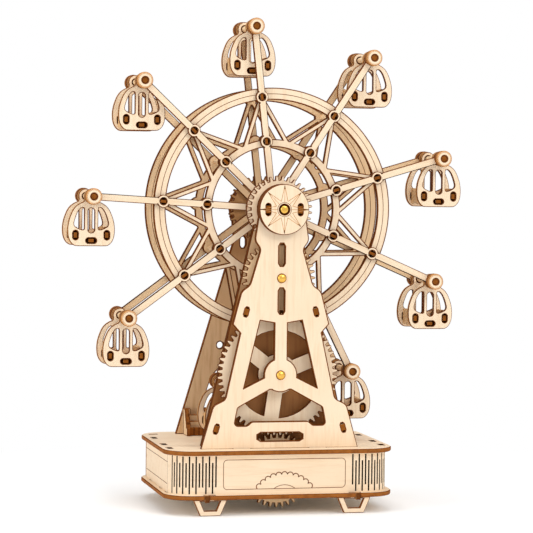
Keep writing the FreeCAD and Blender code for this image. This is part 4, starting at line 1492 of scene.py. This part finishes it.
    def build_bars(self) -> None:
        """Cross bars, whose burnt ends show in the arms' holes, with black painted shade at the holes' bottoms."""
        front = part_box("front_arms")[0].y
        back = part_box("rear_arms")[1].y
        half_x, half_z = self.bar[0] / 2, self.bar[1] / 2
        for node, r in (("inner_dowels", self.inner_boss), ("outer_dowels", self.outer_boss)):
            bar = Bench.board("bar", (r - half_x, front + self.recess, self.hub_z - half_z),
                              (r + half_x, back - self.recess, self.hub_z + half_z))
            dress_ends(bar, Axis.Y, HONEY_AND_SHADE_PLY_ALONG, TAB_END)
            mark_rest(bar)
            bars = [bar] + [self.soot(r, y) for y in (front + PLY, back - PLY - SHADE_AND_SMOKE_DEPTH)]
            seat(self.round_the_hub(node + "_cut", Bench.join("bars", bars)), "wheel", "birch_dowel", node)

    def soot(self, reach: float, front: float) -> bpy.types.Object:
        """A thin black round of painted shade at the bottom of a hole."""
        spot = Bench.disc("soot", reach, self.hub_z, self.hole - self.painted_shade_gap, front - SHADE_AND_SMOKE_DEPTH,
                          front + SHADE_AND_SMOKE_DEPTH, HOLE_SIDES)
        coat(spot, PAINTED_SHADE_BLACK)
        return spot

    def build_caps(self) -> None:
        """A cap of two rounds on each end of an axle, the outer one eased and grooved."""
        low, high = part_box("axle_caps")
        caps = []
        for outer, side in ((low.y, 1), (high.y, -1)):
            for layer in range(2):
                front = outer + layer * PLY if side > 0 else outer - (layer + 1) * PLY
                disc = Bench.disc("cap", self.reach, self.hub_z, self.cap, front, front + PLY)
                Bench.drill(disc, self.reach, self.hub_z, self.cap_hole, front, front + PLY)
                dress_sheet(disc, Axis.Y, PALE_PLY, LIGHT_EDGE if layer else TOASTED_EDGE,
                            SCORCH_WIDTH if layer else self.cap_ease)
                if layer == 0:
                    self.ease_rim(disc, outer)
                caps.append(disc)
        groove = Bench.arc_line("cap_groove", (self.reach, self.hub_z), self.cap_groove, 0, 360, low.y,
                                self.groove_line)
        coat(groove, SCORCHED_RIM)
        caps.append(groove)
        seat(self.round_the_hub("axle_caps_cut", Bench.join("caps", caps)), "wheel", WOOD, "axle_caps")

    def ease_rim(self, disc: bpy.types.Object, outer: float) -> None:
        """Lighten the eased rim of a cap, whose hole keeps its scorched line."""
        disc.data.materials.append(SCORCHED_RIM.material())
        for polygon in disc.data.polygons:
            reach = math.hypot(polygon.center.x - self.reach, polygon.center.z - self.hub_z)
            near = abs(polygon.center.y - outer) < PLY / 2
            if polygon.material_index == 2 and near and reach > self.cap - 1.5 * self.cap_ease:
                polygon.material_index = 3

    def build_axles(self) -> None:
        """The gondolas' wooden axles in their caps, with black painted shade in the caps' holes, and the brass rod
        through the hub.
        """
        low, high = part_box("axle_caps")
        axle = Bench.disc("axle", self.reach, self.hub_z, self.hole * self.axle_fit, low.y + self.axle_recess,
                          high.y - self.axle_recess, HOLE_SIDES)
        dress_ends(axle, Axis.Y, HONEY_AND_SHADE_PLY_ALONG, TAB_END)
        mark_rest(axle)
        # painted shade: black rounds inside the caps' holes
        spots = [self.soot(self.reach, y) for y in (low.y + self.axle_painted_shade, high.y - self.axle_painted_shade)]
        axles = Bench.join("axles", [axle, *spots])
        seat(self.round_the_hub("gondola_axles_cut", axles), "wheel", "birch_dowel", "gondola_axles")
        low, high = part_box("wheel_axle")
        rod = Bench.disc("hub_rod", 0, self.hub_z, (high.z - low.z) / 2, low.y, high.y, BOSS_SIDES)
        coat(rod, BRASS)
        Bench.soften(rod, self.rod_dome, 5)
        seat(rod, "wheel", "brass", "wheel_axle")


@dataclass
class Gondolas:
    """Nine hanging gondolas, modelled once and copied; sizes run out and down from the axle."""

    count: int = 9
    crown: float = 6.0 * MM
    eyelet: float = 5.0 * MM
    side: tuple[tuple[float, float], ...] = (
        (4.7, -1.8), (5.3, -3.5), (7.6, -4.6), (10.5, -6.6), (12.6, -9.3), (14.1, -12.5), (15.4, -16.3),
        (16.1, -20.2), (16.2, -24.0), (15.7, -27.8), (14.2, -31.2), (11.6, -33.5), (8.6, -33.9), (4.0, -33.9))
    window: tuple[tuple[float, float], ...] = (
        (4.9, -8.6), (5.6, -7.8), (6.9, -7.9), (8.6, -9.7), (10.1, -12.7), (11.5, -17.0), (11.7, -19.0),
        (11.0, -20.5), (8.6, -21.9), (6.2, -22.7), (5.1, -22.4), (4.8, -21.4), (4.8, -15.0))
    rim: float = 1.5 * MM
    centre_window: tuple[float, float, float] = (4.6 * MM, -16.4 * MM, 16.8 * MM)
    hole: float = 2.45 * MM
    side_slot: tuple[float, float] = (10.75 * MM, -26.4 * MM)
    floor_slot: float = -30.1 * MM
    side_length: float = 6.4 * MM
    floor_length: float = 7.4 * MM
    slot_width: float = 3.8 * MM
    tab: float = 2.3 * MM
    tab_length: float = 3.6 * MM
    recess: float = 0.6 * MM
    slot_gap: float = 0.04 * MM
    slot_painted_shade: tuple[float, float] = (0.9 * MM, 0.7 * MM)

    def build(self) -> None:
        """Finish the first gondola and copy it to the others' places."""
        low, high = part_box("gondola_1_panels")
        axle = Vector(((low.x + high.x) / 2, 0, high.z - self.crown))
        panels = self.panels(axle, low.y, high.y)
        boards = self.boards(axle, low.y, high.y)
        for k in range(1, self.count + 1):
            move = Matrix.Translation(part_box(f"gondola_{k}_panels")[1] - high)
            for piece, part in ((panels, "panels"), (boards, "boards")):
                made = Bench.copy(piece, move)
                made.name = f"gondola_{k}_{part}_cut"
                seat(made, f"gondola_{k}", WOOD, f"gondola_{k}_{part}")
        for piece in (panels, boards):
            bpy.data.objects.remove(piece)

    def outline(self, axle: Vector) -> list[tuple[float, float]]:
        """A panel's smooth bell-shaped outline."""
        crown = [(self.eyelet * math.cos(math.radians(a)), self.eyelet * math.sin(math.radians(a)))
                 for a in (90, 60, 30, 0)]
        half = crown + [(x * MM, z * MM) for x, z in self.side]
        whole = half + [(-x, z) for x, z in reversed(half[1:])]
        return Bench.flowing([(axle.x + x, axle.z + z) for x, z in whole], 4)

    def slots(self, axle: Vector) -> list[tuple[float, float, float, bool]]:
        """Each tab slot's centre and length, and whether it stands upright."""
        x, z = self.side_slot
        return [(axle.x - x, axle.z + z, self.side_length, True), (axle.x + x, axle.z + z, self.side_length, True),
                (axle.x, axle.z + self.floor_slot, self.floor_length, False)]

    def panels(self, axle: Vector, front: float, back: float) -> bpy.types.Object:
        """Both side panels, with their windows and round-ended tab slots."""
        made = []
        for y in (front, back - PLY):
            panel = Bench.plate("panel", self.outline(axle), y, y + PLY)
            Bench.drill(panel, axle.x, axle.z, self.hole, y, y + PLY)
            ends = (y - PLY, y + 2 * PLY)
            width, middle, length = self.centre_window
            tools = [Bench.stadium("tool", axle.x, axle.z + middle, length, width, *ends)]
            for side in (-1, 1):
                corners = Bench.flowing([(axle.x + side * x * MM, axle.z + z * MM) for x, z in self.window], 3)
                tools.append(Bench.plate("tool", corners, *ends))
            for x, z, long, upright in self.slots(axle):
                tools.append(Bench.stadium("tool", x, z, long, self.slot_width, *ends, upright))
            Bench.cut(panel, *tools)
            made.append(panel)
        both = Bench.join("gondola_panels_model", made)
        dress_sheet(both, Axis.Y, PALE_PLY, TOASTED_EDGE)
        self.darken_windows(both, axle)
        return both

    def darken_windows(self, panels: bpy.types.Object, axle: Vector) -> None:
        """Give the walls of the windows and slots a darker finish than the outline's."""
        panels.data.materials.append(DARK_EDGE.material())
        outline = [Vector(point) for point in self.outline(axle)]
        for polygon in panels.data.polygons:
            centre = Vector((polygon.center.x, polygon.center.z))
            if polygon.material_index == 1 and min((centre - point).length for point in outline) > self.rim:
                polygon.material_index = 3

    def boards(self, axle: Vector, front: float, back: float) -> bpy.types.Object:
        """Floor and side rails, with burnt tabs that reach into the panels' slots, and black painted shade in those
        slots.
        """
        piece = Bench.cad_copy("gondola_1_boards", "gondola_boards_model")
        tabs, soot = [], []
        for x, z, length, upright in self.slots(axle):
            half_x, half_z = self.tab / 2, self.tab_length / 2
            if not upright:
                half_x, half_z = half_z, half_x
            tabs.append(Bench.board("tab", (x - half_x, front + self.recess, z - half_z),
                                    (x + half_x, back - self.recess, z + half_z)))
            # painted shade: a black round-ended spot inside each slot
            for y in (front + PLY - self.slot_painted_shade[0], back - PLY + self.slot_painted_shade[1]):
                soot.append(Bench.stadium("soot", x, z, length - self.slot_gap, self.slot_width - self.slot_gap,
                                          y, y + SHADE_AND_SMOKE_DEPTH, upright))
        whole = Bench.join("gondola_boards_model", tabs + [piece])
        dress_ends(whole, Axis.Y, BOARD_PLY_PAINTED_SHADE, TAB_END)
        black = Bench.join("soot", soot)
        coat(black, PAINTED_SHADE_BLACK)
        return Bench.join("gondola_boards_model", [black, whole])


@dataclass
class CrankAndMovement:
    """The crank at the back, the music movement inside and the boarding steps."""

    knob_ease: float = 1.4 * MM
    post_area: float = 50 * MM * MM

    def build(self) -> None:
        """Dress the crank, the knob, the movement and the steps."""
        finished_sheet("crank_arm", "crank", Axis.Y, PALE_PLY, DARK_EDGE)
        finished_sheet("bearing_board", "base", Axis.Y, PALE_PLY, DARK_EDGE)
        steps = finished_sheet("boarding_steps", "base", Axis.X, HONEY_AND_SHADE_PLY, LIGHT_EDGE)
        for polygon in steps.data.polygons:
            if abs(polygon.normal.y) > SQUARE_SHARE and polygon.area > self.post_area:
                polygon.material_index = 0
        for node, finish in (("crank_shaft", BRASS), ("knob_pin", BRASS), ("music_cylinder", BRASS),
                             ("music_bedplate", STEEL), ("music_comb", STEEL)):
            coat(bpy.data.objects[node], finish)
        self.build_knob()

    def build_knob(self) -> None:
        """A turned knob with eased rims, open along its pin."""
        low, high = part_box("crank_knob")
        pin_low, pin_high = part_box("knob_pin")
        x, z = (pin_low.x + pin_high.x) / 2, (pin_low.z + pin_high.z) / 2
        knob = Bench.disc("crank_knob_turned", x, z, (high.z - low.z) / 2, low.y, high.y, BOSS_SIDES)
        Bench.soften(knob, self.knob_ease, 4)
        Bench.drill(knob, x, z, (pin_high.z - pin_low.z) / 2 + RUN, low.y, high.y)
        coat(knob, HONEY_AND_SHADE_PLY)
        Bench.pick(knob)
        bpy.ops.object.shade_smooth_by_angle(angle=math.radians(SMOOTH_ANGLE))
        seat(knob, "crank_knob", "birch_dowel", "crank_knob")


@dataclass
class Studio:
    """Pale floor, soft lights and the camera."""

    azimuth: float = -12.99
    elevation: float = 2.22
    roll: float = 0.64
    distance: float = 1.57083
    lens: float = 151.65
    target: tuple[float, float, float] = (0.00021, 0.0, 0.16586)
    world_light: float = 0.62
    fade_near: float = 0.085
    fade_far: float = 0.34
    footprint: tuple[float, float, float] = (0.80, 1.0, 1.0)
    floor_size: float = 12.0
    floor_tone: tuple[float, float, float] = (0.97, 0.97, 0.97)
    floor_roughness: float = 0.7
    sensor: float = 36.0
    sight: float = 50.0
    lamp_aim: tuple[float, float, float] = (0.0, 0.0, 0.17)
    lamps: tuple[tuple[str, tuple[float, float, float], float, float], ...] = (
        ("key", (0.75, -1.5, 1.35), 0.9, 14.0),
        ("side", (-1.8, -0.5, 0.55), 1.2, 9.5),
        ("top", (-0.2, -0.1, 1.9), 1.2, 16.0),
    )

    def build(self) -> None:
        """Set the camera, the lights and the floor."""
        scene = bpy.context.scene
        scene.view_settings.view_transform = "Standard"
        self.camera(scene)
        self.world(scene)
        self.lights()
        self.floor()

    def camera(self, scene: bpy.types.Scene) -> None:
        """A long lens in front of the toy and a little to its left."""
        a, e, r = (math.radians(v) for v in (self.azimuth, self.elevation, self.roll))
        back = Vector((math.sin(a) * math.cos(e), -math.cos(a) * math.cos(e), math.sin(e)))
        right = Vector((math.cos(a), math.sin(a), 0))
        up = back.cross(right)
        right, up = right * math.cos(r) + up * math.sin(r), up * math.cos(r) - right * math.sin(r)
        data = bpy.data.cameras.new("camera")
        data.lens = self.lens
        data.sensor_width = self.sensor
        data.clip_end = self.sight
        camera = bpy.data.objects.new("camera", data)
        turn = Matrix((right, up, back)).transposed().to_4x4()
        camera.matrix_world = Matrix.Translation(Vector(self.target) + back * self.distance) @ turn
        scene.collection.objects.link(camera)
        scene.camera = camera

    def world(self, scene: bpy.types.Scene) -> None:
        """White where it is seen, softer where it lights."""
        world = bpy.data.worlds.new("studio")
        world.use_nodes = True
        tree = world.node_tree
        rays = new_node(tree, "ShaderNodeLightPath")
        seen = new_node(tree, "ShaderNodeMath",
                        {0: rays.outputs["Is Camera Ray"], 1: rays.outputs["Is Glossy Ray"]}, operation="MAXIMUM")
        strength = new_node(tree, "ShaderNodeMapRange",
                            {"Value": seen.outputs[0], "To Min": self.world_light, "To Max": 1.0})
        set_inputs(tree, tree.nodes["Background"],
                   {"Color": (1.0, 1.0, 1.0, 1.0), "Strength": strength.outputs["Result"]})
        scene.world = world

    def lights(self) -> None:
        """A large soft key at the front right, a side light and a top light."""
        for name, place, size, power in self.lamps:
            data = bpy.data.lights.new(name, "AREA")
            data.size = size
            data.energy = power
            lamp = bpy.data.objects.new(name, data)
            aim = Vector(self.lamp_aim) - Vector(place)
            lamp.matrix_world = Matrix.Translation(place) @ aim.to_track_quat("-Z", "Y").to_matrix().to_4x4()
            bpy.context.scene.collection.objects.link(lamp)

    def floor(self) -> None:
        """A pale floor that fades into the white backdrop away from the toy."""
        bpy.ops.object.select_all(action="DESELECT")
        bpy.ops.mesh.primitive_plane_add(size=self.floor_size)
        floor = bpy.context.active_object
        floor.name = "floor"
        material = bpy.data.materials.new("floor_paper")
        material.use_nodes = True
        tree = material.node_tree
        shader = tree.nodes["Principled BSDF"]
        set_inputs(tree, shader, {"Base Color": (*self.floor_tone, 1.0), "Roughness": self.floor_roughness})
        glow = new_node(tree, "ShaderNodeEmission")
        coords = new_node(tree, "ShaderNodeTexCoord")
        shape = new_node(tree, "ShaderNodeMapping", {"Vector": coords.outputs["Object"], "Scale": self.footprint})
        away = new_node(tree, "ShaderNodeVectorMath", {0: shape.outputs["Vector"]}, operation="LENGTH")
        fade = new_node(tree, "ShaderNodeMapRange",
                        {"Value": away.outputs["Value"], "From Min": self.fade_near, "From Max": self.fade_far})
        rays = new_node(tree, "ShaderNodeLightPath")
        seen = new_node(tree, "ShaderNodeMath",
                        {0: fade.outputs["Result"], 1: rays.outputs["Is Camera Ray"]}, operation="MULTIPLY")
        blend = new_node(tree, "ShaderNodeMixShader",
                         {"Fac": seen.outputs[0], 1: shader.outputs[0], 2: glow.outputs[0]})
        set_inputs(tree, tree.nodes["Material Output"], {"Surface": blend.outputs[0]})
        floor.data.materials.append(material)
        floor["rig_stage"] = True


def corners() -> list[list[float]]:
    """The shown object's lowest and highest corner as plain numbers."""
    return [[float(c) for c in corner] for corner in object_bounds()]


def main() -> None:
    """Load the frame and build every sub-assembly in order."""
    logging.basicConfig(level=logging.INFO, format="%(name)s: %(message)s")
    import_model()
    Studio().build()
    for assembly in (MusicBoxBase, Towers, GearTrain, Wheel, Gondolas, CrankAndMovement):
        assembly().build()
        LOG.info("%s is built", assembly.__name__)


if __name__ == "__main__":
    main()
